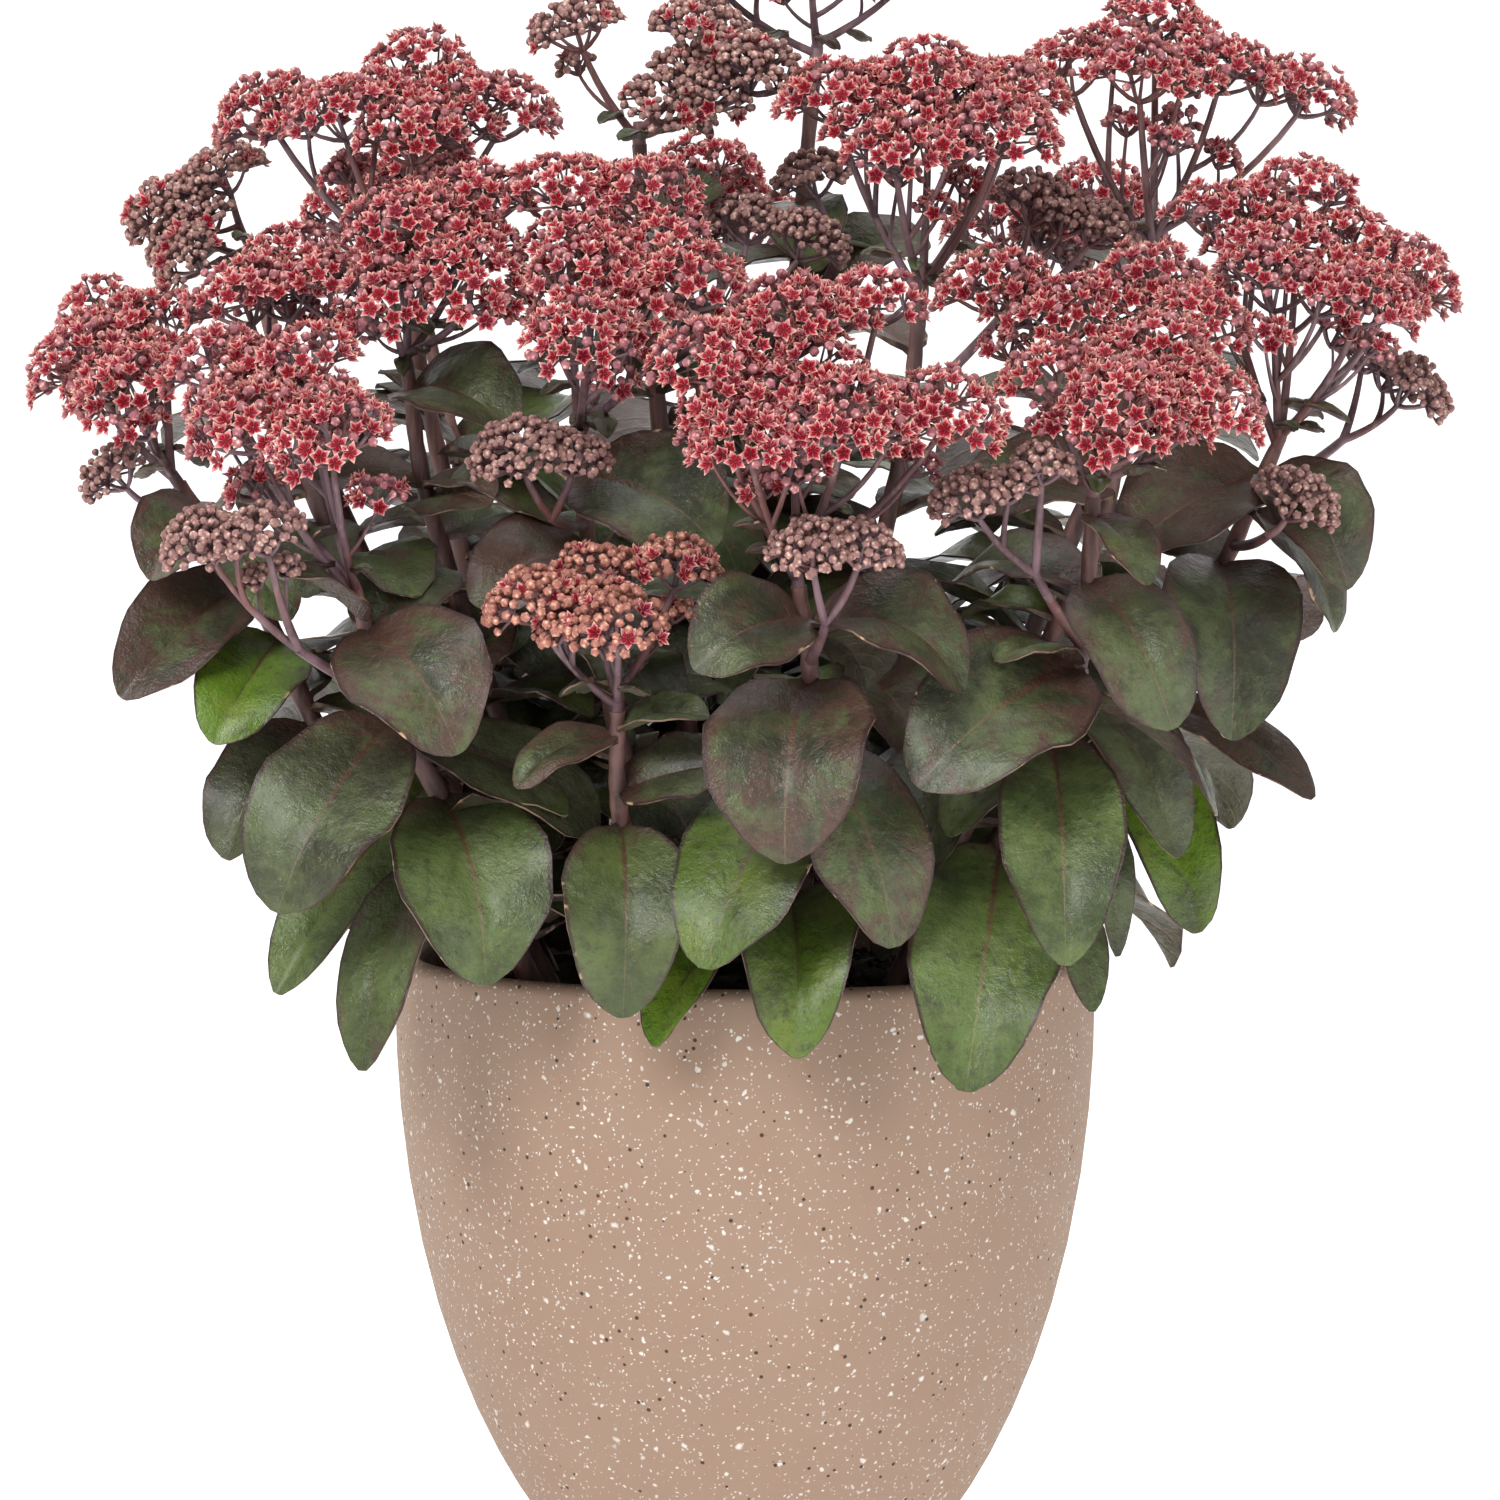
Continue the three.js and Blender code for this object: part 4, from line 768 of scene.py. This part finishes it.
stalkForm = {"foot": 4.1, "fork": 2.6, "uneven": 0.2, "steps": 36, "roundness": 4}
leafCount = 0
stemLines = {}
for seed, name in enumerate(stems, 1):
    line, leaves = stemLeaves(name, seed)
    stemLines[name] = line
    surface = partSurface(name + "_stem")
    blades = []
    for n, (*shape, plain) in enumerate(leaves):
        root, tip = shape[:2]
        bend = bendOnPart(surface, *shape, plain)
        if bend is None:
            print("no leaf on", name, n)
            continue
        heart = root.lerp(tip, 0.6)
        fresh = 0.25 * float(smoothStep(np.array([262 - tip.z]), 0, 60)[0])
        for x, z, far in brightLeaves:
            if not plain and heart.y < -45:
                fresh = max(fresh, 1.25 - math.hypot(heart.x - x, heart.z - z) / far)
        blotch = min(0.9, max(0.05, (heart.z - 225) / 240 + abs(heart.x) / 700))
        grid = smallLeaf if plain else fullLeaf
        tag = f"{name}_leaf_{n}"
        blades.append(leafBlade(tag, grid, *shape, bend, seed * 100 + n, min(1.0, fresh), blotch))
    for n, shape in enumerate(innerLeaves(line, seed)):
        tag = f"{name}_inner_{n}"
        blades.append(leafBlade(tag, smallLeaf, *shape, straight, seed * 900 + n, innerForm["fresh"]))
    leafCount += len(blades)
    foliage = thickenLeaves(joinAs(name + "_foliage", blades))
    steps, foot, uneven = stalkForm["steps"], stalkForm["foot"], stalkForm["uneven"]
    taper = stalkForm["fork"] - foot
    points = [linePoint(line, i / steps) for i in range(steps + 1)]
    radii = [foot + taper * i / steps + uneven * math.sin(i * 1.9 + seed) for i in range(steps + 1)]
    stalk = tubes(name + "_stalk", [(points, radii)], stalkForm["roundness"], stemSkin)
    piece = joinAs("leafy_" + name, [foliage, stalk])
    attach(piece, "root")
    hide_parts(name + "_stem")
print("leafy stems made:", leafCount, "leaves")


# Florets
class Pattern:  # one shape that is copied many times into a head
    def __init__(self):
        self.points, self.faces, self.kinds, self.tones = [], [], [], []

    def point(self, place, along, edge=0.0):
        self.points.append(tuple(place))
        self.tones.append((along, edge))
        return len(self.points) - 1

    def face(self, kind, *corners):
        self.faces.append(corners)
        self.kinds.append(kind)


floretForm = {"reach": 3.8, "deep": 2.35, "wide": 1.25, "keel": 0.4, "carpel": 2.4, "stamen": 3.3}


def spike(shape, kind, spin, foot, half, high, peak, tones):  # a slim three-sided cone from near the middle
    places = ((0, foot * 0.1, high), (-half, foot, high), (half, foot, high))
    corners = [shape.point(spin @ Vector(p), tones[0]) for p in places]
    tip = shape.point(spin @ Vector(peak), tones[1], 1)
    for a, b in ((0, 2), (2, 1), (1, 0)):
        shape.face(kind, corners[a], corners[b], tip)
    shape.face(kind, *corners)


def starPattern(spread):  # spread is how far the petals lie back, from 0 to 1
    shape = Pattern()
    reach = floretForm["reach"] * (0.78 + 0.26 * spread)
    deep = floretForm["deep"] * (1.35 - 0.6 * spread)
    wide = floretForm["wide"]
    for k in range(5):
        spin = Matrix.Rotation(k * math.radians(72), 3, "Z")
        between = Matrix.Rotation((k + 0.5) * math.radians(72), 3, "Z")
        base, left, right, middle, under, tip = [shape.point(spin @ Vector(p), *tone) for p, *tone in (
            ((0, 0.3, 0.1), 0), ((-wide, 0.56 * reach, 0.62 * deep), 0.58, 1),
            ((wide, 0.56 * reach, 0.62 * deep), 0.58, 1), ((0, 0.62 * reach, 0.5 * deep), 0.56),
            ((0, 0.66 * reach, 0.5 * deep - floretForm["keel"]), 0.5), ((0, 1.05 * reach, deep), 1, 1),
        )]
        for kind, mid, turn in ((0, middle, 1), (1, under, -1)):
            for corners in ((base, mid, right), (base, left, mid), (mid, tip, right), (left, tip, mid)):
                shape.face(kind, *corners[::turn])
        spike(shape, 2, spin, 1.3, 0.92, 0.6, (0, floretForm["carpel"], 0.5 + 0.75 * deep), (0, 1))
        spike(shape, 1, between, 1.5, 0.22, 0.5, (0, 0.8 * floretForm["stamen"], 0.6 + deep), (0.3, 1))
    return shape


def budPattern():  # five closed petals, each a low ridge
    shape = Pattern()
    rings = []
    for height, radius, half in ((0.9, 1.25, 0), (2.3, 1.85, 0.5), (3.3, 1.15, 0)):
        ring = []
        for k in range(5):
            angle = (k + half) * math.radians(72)
            place = (math.cos(angle) * radius, math.sin(angle) * radius, height)
            ring.append(shape.point(place, height / 4, half * 2))
        rings.append(ring)
    bottom = shape.point((0, 0, 0), 0)
    top = shape.point((0, 0, 3.6), 0.9, 1)
    for k in range(5):
        n = (k + 1) % 5
        (a, b), (c, d), (e, f) = [(ring[k], ring[n]) for ring in rings]
        for corners in ((bottom, b, a), (a, b, c), (b, d, c), (c, d, f), (c, f, e), (e, f, top)):
            shape.face(3, *corners)
    return shape


def threadPattern():  # a stalk one millimetre long and wide, stretched to fit
    shape = Pattern()
    rings = []
    for height, radius in ((0, 1.2), (1, 1.0)):
        places = [(math.cos(k * 2.094) * radius, math.sin(k * 2.094) * radius, height) for k in range(3)]
        rings.append([shape.point(place, 0) for place in places])
    for k in range(3):
        n = (k + 1) % 3
        shape.face(4, rings[0][k], rings[0][n], rings[1][n], rings[1][k])
    shape.face(4, *rings[0][::-1])
    shape.face(4, *rings[1])
    return shape


starShapes = [starPattern(0.25), starPattern(0.6), starPattern(1.0)]
budShape = budPattern()
threadShape = threadPattern()


def copyPatterns(name, items, materials):  # items are (pattern, matrix, chance)
    points, faces, kinds, tones = [], [], [], []
    start = 0
    for shape, matrix, chance in items:
        places = np.array(shape.points) @ np.array(matrix.to_3x3()).T + np.array(matrix.translation)
        points.append(places)
        tones.extend((along, chance, edge, 1) for along, edge in shape.tones)
        faces.extend(tuple(start + c for c in corners) for corners in shape.faces)
        kinds.extend(shape.kinds)
        start += len(shape.points)
    mesh = bpy.data.meshes.new(name)
    mesh.from_pydata((np.vstack(points) * mm).tolist(), [], faces)
    mesh.polygons.foreach_set("material_index", kinds)
    tone = mesh.color_attributes.new("bloomTone", "FLOAT_COLOR", "POINT")
    tone.data.foreach_set("color", np.array(tones, dtype=np.float32).ravel())
    for material in materials:
        mesh.materials.append(material)
    piece = newObject(name, mesh)
    activate(piece)
    bpy.ops.object.shade_smooth_by_angle(angle=math.radians(35))
    return piece


potForm = {
    "rim": 125, "height": 218, "wide": 200, "bow": 230, "wall": 9, "floor": 14, "lip": 4.5, "cove": 8,
    "sides": 128,
}
headForm = {
    "grow": 1.24, "starRoom": 41.5, "budRoom": 11, "cover": 1.36, "subBranches": 5, "subSpread": 0.55,
    "fill": 0.8, "fillGap": (1.3, 2.9), "hub": 0.75, "rise": 0.44, "dome": 0.85, "round": 0.8, "lean": 0.85,
    "outward": 0.22, "thread": 0.46, "threadShare": 0.5, "open": 0.74, "bud": 3.7, "branch": 1.7,
    "fillBranch": 1.2,
}
sprayForm = {"size": 0.46, "bud": 3.2, "branch": 0.9, "reach": 44, "off": 0.7, "along": (0.6, 0.72)}
bractForm = {"along": (0.12, 0.3), "turn": 70, "long": (10, 17), "droop": (-0.1, 0.5), "slim": 0.52}
shootForm = {"bud": 3.1, "foot": 2.2, "taper": 0.6, "sag": 1.5, "steps": 8}


def facing(normal, spin, size, place):
    turn = up.rotation_difference(normal).to_matrix() @ Matrix.Rotation(spin, 3, "Z")
    return Matrix.Translation(place) @ (turn * size).to_4x4()


def threadBetween(start, end):
    way = end - start
    turn = up.rotation_difference(way.normalized()).to_matrix()
    thick = headForm["thread"]
    return Matrix.Translation(start) @ (turn @ Matrix.Diagonal((thick, thick, way.length))).to_4x4()


def filledLobes(lobes):  # with a smaller lobe in each gap; last is the lobe whose branch it leaves
    made = [(Vector(lobe[:3]), lobe[3], None) for lobe in lobes]
    near, far = headForm["fillGap"]
    for i in range(len(lobes)):
        for j in range(i + 1, len(lobes)):
            size = (made[i][1] + made[j][1]) / 2
            middle = (made[i][0] + made[j][0]) / 2 - up * 2
            gap = (made[i][0] - made[j][0]).length
            if size * near < gap < size * far and all((c - middle).length > size * 0.85 for c, _, _ in made):
                made.append((middle, size * headForm["fill"], i))
    return made


def lobeOf(fork, start, centre, radius, openShare, budSize, rnd, items, branches, thick):
    reach = centre - fork
    outer = Vector((centre.x, centre.y, 0)) / potForm["rim"] * headForm["outward"]
    axis = (reach.normalized() + up * headForm["lean"] + outer).normalized()
    hub = centre - axis * (headForm["hub"] * radius)
    side = Vector((1, 0, 0))
    side = (side - axis * side.dot(axis)).normalized()
    other = axis.cross(side)
    radius *= headForm["grow"]
    away = Vector((reach.x, reach.y, 0)) * 0.05 - up * (reach.length * 0.03)
    run = bowed(start, hub, away, 6)
    branches.append((run, [thick - 0.35 * thick * i / 6 for i in range(7)]))
    tops = []
    count = headForm["subBranches"]
    offset = rnd.uniform(0, 6.28)
    for k in range(count + 1):
        angle = offset + k * 6.283 / count
        spread = 0 if k == count else headForm["subSpread"] * radius
        spoke = (side * math.cos(angle) + other * math.sin(angle)) * spread
        top = centre + spoke - axis * radius * (0.1 if k == count else 0.28)
        tops.append(top)
        branches.append((bowed(hub - axis * 1.0, top, -axis * 0.06 * radius, 3), [0.95, 0.85, 0.75, 0.7]))
    budRoom = headForm["budRoom"] * (budSize / 3.3) ** 2
    room = headForm["starRoom"] * openShare + budRoom * (1 - openShare)
    total = max(6, round(math.pi * radius * radius * headForm["cover"] / room))
    spinStart = rnd.uniform(0, 6.28)
    for i in range(total):
        f = (i + 0.5) / total
        angle = spinStart + i * 2.39996 + rnd.uniform(-0.12, 0.12)
        upward = 1 - headForm["round"] * f
        outward = math.sqrt(1 - upward * upward)
        spoke = side * math.cos(angle) + other * math.sin(angle)
        high = radius * (headForm["rise"] + headForm["dome"] * (upward - 1)) + rnd.uniform(-2.6, 1.6)
        place = centre + spoke * (radius * outward * rnd.uniform(0.95, 1.05)) + axis * high
        stray = Vector((rnd.uniform(-0.25, 0.25), rnd.uniform(-0.3, 0.1), rnd.uniform(0, 0.2)))
        normal = (axis * max(upward, 0.35) + spoke * outward + stray).normalized()
        isOpen = rnd.random() < openShare
        size = rnd.uniform(0.9, 1.12) if isOpen else budSize / 3.4 * rnd.uniform(0.8, 1.1)
        foot = place - normal * ((2.4 if isOpen else 3.4) * size)
        shape = rnd.choice(starShapes) if isOpen else budShape
        items.append((shape, facing(normal, rnd.uniform(0, 1.3), size, foot), rnd.random()))
        if f > headForm["threadShare"] or i % 3 == 0:
            top = min(tops, key=lambda p: (p - foot).length)
            items.append((threadShape, threadBetween(top, foot + normal * 0.4), 0))
    return run


def bractsAt(name, start, lobes, rnd):  # the small leaves where a head forks
    blades = []
    for n, (x, y, z, _) in enumerate(lobes):
        goal = Vector((x, y, z))
        root = start.lerp(goal, rnd.uniform(*bractForm["along"]))
        out = Vector((goal.x - start.x, goal.y - start.y, 0)).normalized()
        out = turned(out, up, rnd.uniform(-bractForm["turn"], bractForm["turn"]))
        length = rnd.uniform(*bractForm["long"])
        tip = root + out * length - up * length * rnd.uniform(*bractForm["droop"])
        shape = (root, tip, length * bractForm["slim"], 8, 0.1)
        blades.append(leafBlade(f"{name}_bract_{n}", smallLeaf, *shape, straight, rnd.random()))
    return thickenLeaves(joinAs(name + "_bracts", blades))


def bloomPiece(name, node, start, along, lobes, openShare, budSize, slot, seed, stub, bracts=True):
    rnd = random.Random(seed)
    items, branches, runs = [], [stub], []
    full = filledLobes(lobes)
    for i, (centre, radius, carrier) in enumerate(full):
        foot = start + along * (8 * (i + 1) / (len(lobes) + 1)) if carrier is None else runs[carrier][3]
        thick = headForm["branch" if carrier is None else "fillBranch"]
        runs.append(lobeOf(start, foot, centre, radius, openShare, budSize, rnd, items, branches, thick))
    for i, (centre, radius, _) in enumerate(full[:len(lobes)]):  # a few late sprays lower down
        if (centre - start).length < sprayForm["reach"]:
            continue
        angle = rnd.uniform(0, 6.28)
        out = Vector((math.cos(angle), math.sin(angle), 0)) * (radius * sprayForm["off"])
        spray = start.lerp(centre, rnd.uniform(*sprayForm["along"])) + out
        size, bud, thick = radius * sprayForm["size"], sprayForm["bud"], sprayForm["branch"]
        lobeOf(start, runs[i][2], spray, size, openShare * 0.5, bud, rnd, items, branches, thick)
    bud = brownBud if openShare <= 0.1 else peachBud if slot == "bud" else pinkBud
    flowers = copyPatterns(name + "_flowers", items, [petalInside, petalBack, flowerMiddle, bud, branchSkin])
    strong = [run for run in branches if run[1][0] > 1]
    fine = [run for run in branches if run[1][0] <= 1]
    pieces = [flowers, tubes(name + "_branches", strong, 1, branchSkin)]
    pieces.append(tubes(name + "_twigs", fine, 0, branchSkin))
    if bracts:
        pieces.append(bractsAt(name, start, lobes, rnd))
    piece = joinAs(name, pieces)
    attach(piece, "root")
    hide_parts(node)
    return sum(shape is not threadShape for shape, _, _ in items)


flowerCount = 0
for seed, (name, lobes) in enumerate(heads.items(), 1):
    line = stemLines[name]
    fork = linePoint(line, 1.0)
    leaning = (fork - linePoint(line, 0.998)).normalized()
    stub = ([fork - leaning * 2, fork + leaning * 4, fork + leaning * 8.3], [2.5, 2.4, 1.7])
    share, size = closedHeads.get(name, (headForm["open"], headForm["bud"]))
    slot = "bud" if name in closedHeads else "flower"
    names = ("head_" + name, name + "_head")
    flowerCount += bloomPiece(*names, fork, leaning, lobes, share, size, slot, seed, stub)
for seed, (name, (carrier, at, bend, lobes)) in enumerate(shoots.items(), 60):
    root = lineAtHeight(stemLines[carrier], at)
    knee = Vector(bend)
    out = (knee - root).normalized()
    steps = shootForm["steps"]
    radii = [shootForm["foot"] - shootForm["taper"] * i / steps for i in range(steps + 1)]
    stub = (bowed(root, knee, -up * shootForm["sag"], steps), radii)
    start, along, size = knee - out * 1.5, out * 0.2, shootForm["bud"]
    names = ("twig_" + name, name)
    flowerCount += bloomPiece(*names, start, along, lobes, 0.0, size, "bud", seed, stub, bracts=False)
print("heads and shoots made:", flowerCount, "flowers and buds")
bpy.data.objects.remove(fullLeaf[0])
bpy.data.objects.remove(smallLeaf[0])


# Pot and soil
def potRadius(z):
    return potForm["rim"] * math.sqrt(1 - (max(potForm["wide"] - z, 0) / potForm["bow"]) ** 2)


def innerRadius(z, gap=0):
    return potRadius(z) - potForm["wall"] - gap


def faceOutwards(piece):
    activate(piece)
    bpy.ops.object.mode_set(mode="EDIT")
    bpy.ops.mesh.select_all(action="SELECT")
    bpy.ops.mesh.normals_make_consistent(inside=False)
    bpy.ops.object.mode_set(mode="OBJECT")


def turnedOnWheel(name, profile, sides):  # a ring drawn up step by step along a profile
    radius, height = profile[0]
    bpy.ops.mesh.primitive_circle_add(vertices=sides, radius=radius * mm, fill_type="NGON")
    piece = bpy.context.active_object
    bpy.ops.object.mode_set(mode="EDIT")
    bpy.ops.mesh.select_all(action="SELECT")
    bpy.ops.transform.translate(value=(0, 0, height * mm))
    bpy.ops.mesh.flip_normals()
    for nextRadius, nextHeight in profile[1:]:
        bpy.ops.mesh.extrude_region_move(TRANSFORM_OT_translate={"value": (0, 0, (nextHeight - height) * mm)})
        factor = nextRadius / radius
        bpy.ops.transform.resize(value=(factor, factor, 1), center_override=(0, 0, nextHeight * mm))
        radius, height = nextRadius, nextHeight
    bpy.ops.object.mode_set(mode="OBJECT")
    piece.name = piece.data.name = name
    return piece


potSurface = [(potRadius(0) - 1.8, 0), (potRadius(0) - 0.7, 0.3), (potRadius(0.9), 1.2)]
outsideSteps = (5, 10, 16, 26, 38, 54, 72, 92, 114, 138, 162, 182, 198, 209, 211.5)
potSurface += [(potRadius(z), z) for z in outsideSteps]
lipTurns = [math.radians(a) for a in range(0, 181, 18)]
lip, cove = potForm["lip"], potForm["cove"]
lipMiddle = (potForm["rim"] - lip, potForm["height"] - lip)
potSurface += [(lipMiddle[0] + lip * math.cos(a), lipMiddle[1] + lip * math.sin(a)) for a in lipTurns]
coveTop = potForm["floor"] + cove
potSurface += [(innerRadius(z), z) for z in (205, 180, 144, 100, 62, 36, coveTop)]
coveEdge = innerRadius(coveTop) - cove
coveTurns = [math.radians(a) for a in (30, 60, 90)]
potSurface += [(coveEdge + cove * math.cos(a), coveTop - cove * math.sin(a)) for a in coveTurns]
potSurface += [(30, potForm["floor"]), (10, potForm["floor"])]
potPiece = turnedOnWheel("stonePot", potSurface, potForm["sides"])
potPiece.data.materials.append(castStone)
faceOutwards(potPiece)
bpy.ops.object.shade_smooth_by_angle(angle=math.radians(50))
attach(potPiece, "root")
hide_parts("pot")

soilForm = {
    "level": 204, "crown": 6, "gap": 0.6, "lump": 2.6, "grain": 1.1, "crumbs": 420,
    "sizes": (0.7, 0.9, 1.2, 1.6, 2.4), "sides": 96,
}
soilEdge = innerRadius(soilForm["level"], soilForm["gap"])


def soilTop(radius):
    return soilForm["level"] + soilForm["crown"] * (1 - (radius / soilEdge) ** 2)


def rough(x, y):
    lump = noise.noise(Vector((x, y, 3)) * 0.06) * soilForm["lump"]
    return lump + noise.noise(Vector((x, y, 9)) * 0.35) * soilForm["grain"]


soilBottom = potForm["floor"] + 0.4
soilSurface = [(10, soilBottom), (52, soilBottom)]
soilSurface += [(innerRadius(z, soilForm["gap"]), z) for z in (22, 60, 110, 160, 200)]
topSteps = [soilEdge * (1 - 0.025 * i) for i in range(1, 39)]
soilSurface += [(far, soilTop(far)) for far in topSteps]
soilPiece = turnedOnWheel("compostFill", soilSurface, soilForm["sides"])
for vertex in soilPiece.data.vertices:
    x, y, z = vertex.co / mm
    far = math.hypot(x, y)
    if z > soilForm["level"] - 3 and far < soilEdge - 1:
        vertex.co.z += rough(x, y) * min(1, (soilEdge - far) / 6) * mm
faceOutwards(soilPiece)
bpy.ops.object.shade_smooth()
bpy.ops.mesh.primitive_ico_sphere_add(subdivisions=1, radius=mm)
crumb = bpy.context.active_object
crumbPoints = [v.co / mm for v in crumb.data.vertices]
crumbFaces = [tuple(p.vertices) for p in crumb.data.polygons]
bpy.data.objects.remove(crumb)
rnd = random.Random(7)
points, faces = [], []
for i in range(soilForm["crumbs"]):
    far, angle = soilEdge * 0.96 * math.sqrt(rnd.random()), rnd.uniform(0, 6.28)
    x, y = far * math.cos(angle), far * math.sin(angle)
    size = rnd.choice(soilForm["sizes"]) * rnd.uniform(0.8, 1.2)
    turn = Quaternion((rnd.random(), rnd.random(), rnd.random()), rnd.uniform(0, 6)).to_matrix()
    squash = Vector((rnd.uniform(0.7, 1.5), rnd.uniform(0.7, 1.2), rnd.uniform(0.5, 0.9)))
    foot = Vector((x, y, soilTop(far) + rough(x, y) + size * 0.25))
    start = len(points)
    for p in crumbPoints:
        corner = turn @ Vector((p[k] * squash[k] for k in range(3)))
        points.append((foot + corner * size * rnd.uniform(0.85, 1.15)) * mm)
    faces += [tuple(start + c for c in face) for face in crumbFaces]
crumbMesh = bpy.data.meshes.new("crumbs")
crumbMesh.from_pydata([tuple(p) for p in points], [], faces)
soilPiece = joinAs("compostFill", [soilPiece, newObject("crumbs", crumbMesh)])
soilPiece.data.materials.clear()
soilPiece.data.materials.append(compost)
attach(soilPiece, "root")
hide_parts("soil")
print("pot and soil made")


# Stage: a white sweep, soft light from the upper left, and the camera
stageForm = {"wide": 12.0, "back": 5.2, "front": 5.2, "high": 4.5, "round": 1.2, "glow": 0.55, "sky": 0.4}
bpy.ops.mesh.primitive_grid_add(x_subdivisions=1, y_subdivisions=40, size=2)
sweep = bpy.context.active_object
sweep.name = "paperSweep"
bottom = stageForm["front"] + stageForm["back"]
bend = stageForm["round"]
curve = bend * math.pi / 2
length = bottom + curve + stageForm["high"]
for vertex in sweep.data.vertices:
    way = (vertex.co.y + 1) / 2 * length
    x = vertex.co.x * stageForm["wide"] / 2
    if way < bottom:
        vertex.co = (x, way - stageForm["front"], 0)
    elif way < bottom + curve:
        a = (way - bottom) / bend
        vertex.co = (x, stageForm["back"] + bend * math.sin(a), bend * (1 - math.cos(a)))
    else:
        vertex.co = (x, stageForm["back"] + bend, bend + way - bottom - curve)
sweep.data.update()
bpy.ops.object.shade_smooth()
paper = Shader("paper", 0.9, 0.1)
glow = {"Emission Color": (1, 1, 1, 1), "Emission Strength": stageForm["glow"]}
sweep.data.materials.append(paper.paint((0.95, 0.95, 0.95, 1), **glow))
sweep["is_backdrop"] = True

world = bpy.data.worlds.new("softRoom")
bpy.context.scene.world = world
world.use_nodes = True
sky = world.node_tree.nodes["Background"]
sky.inputs["Color"].default_value = (1, 1, 1, 1)
sky.inputs["Strength"].default_value = stageForm["sky"]


def softBox(name, place, size, watts):
    lamp = bpy.data.lights.new(name, "AREA")
    lamp.shape = "RECTANGLE"
    lamp.size = lamp.size_y = size
    lamp.energy = watts
    box = newObject(name, lamp)
    box.location = place
    box.rotation_euler = (Vector((0, 0, 0.3)) - Vector(place)).to_track_quat("-Z", "Y").to_euler()


lights = {  # place, side of the square and watts
    "keyLight": ((-1.3, -2.0, 2.1), 1.1, 58), "fillLight": ((1.9, -1.9, 0.9), 1.5, 15),
    "topLight": ((0.1, 0.3, 2.4), 1.6, 22),
}
for name, row in lights.items():
    softBox(name, *row)

shotForm = {"lens": 168, "sensor": 36, "place": (0, -2.49, 0.503), "down": 600 / 7000, "aside": 5 / 7000}
shot = bpy.data.cameras.new("camera")
shot.lens, shot.sensor_width = shotForm["lens"], shotForm["sensor"]
camera = newObject("camera", shot)
camera.location = shotForm["place"]
camera.rotation_euler = (math.pi / 2 - math.atan(shotForm["down"]), 0, -math.atan(shotForm["aside"]))
bpy.context.scene.camera = camera
bpy.context.scene.view_settings.view_transform = "Standard"
print("stage, lights and camera set")

meshes = [o for o in bpy.data.objects if o.type == "MESH"]
faceCount = {o.name: sum(len(p.vertices) - 2 for p in o.data.polygons) for o in meshes}
largest = max(faceCount, key=faceCount.get)
print("triangles in all:", sum(faceCount.values()), "largest:", largest, faceCount[largest])
plain = [[[float(c) for c in corner] for corner in bounds] for bounds in (cadBounds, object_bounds())]
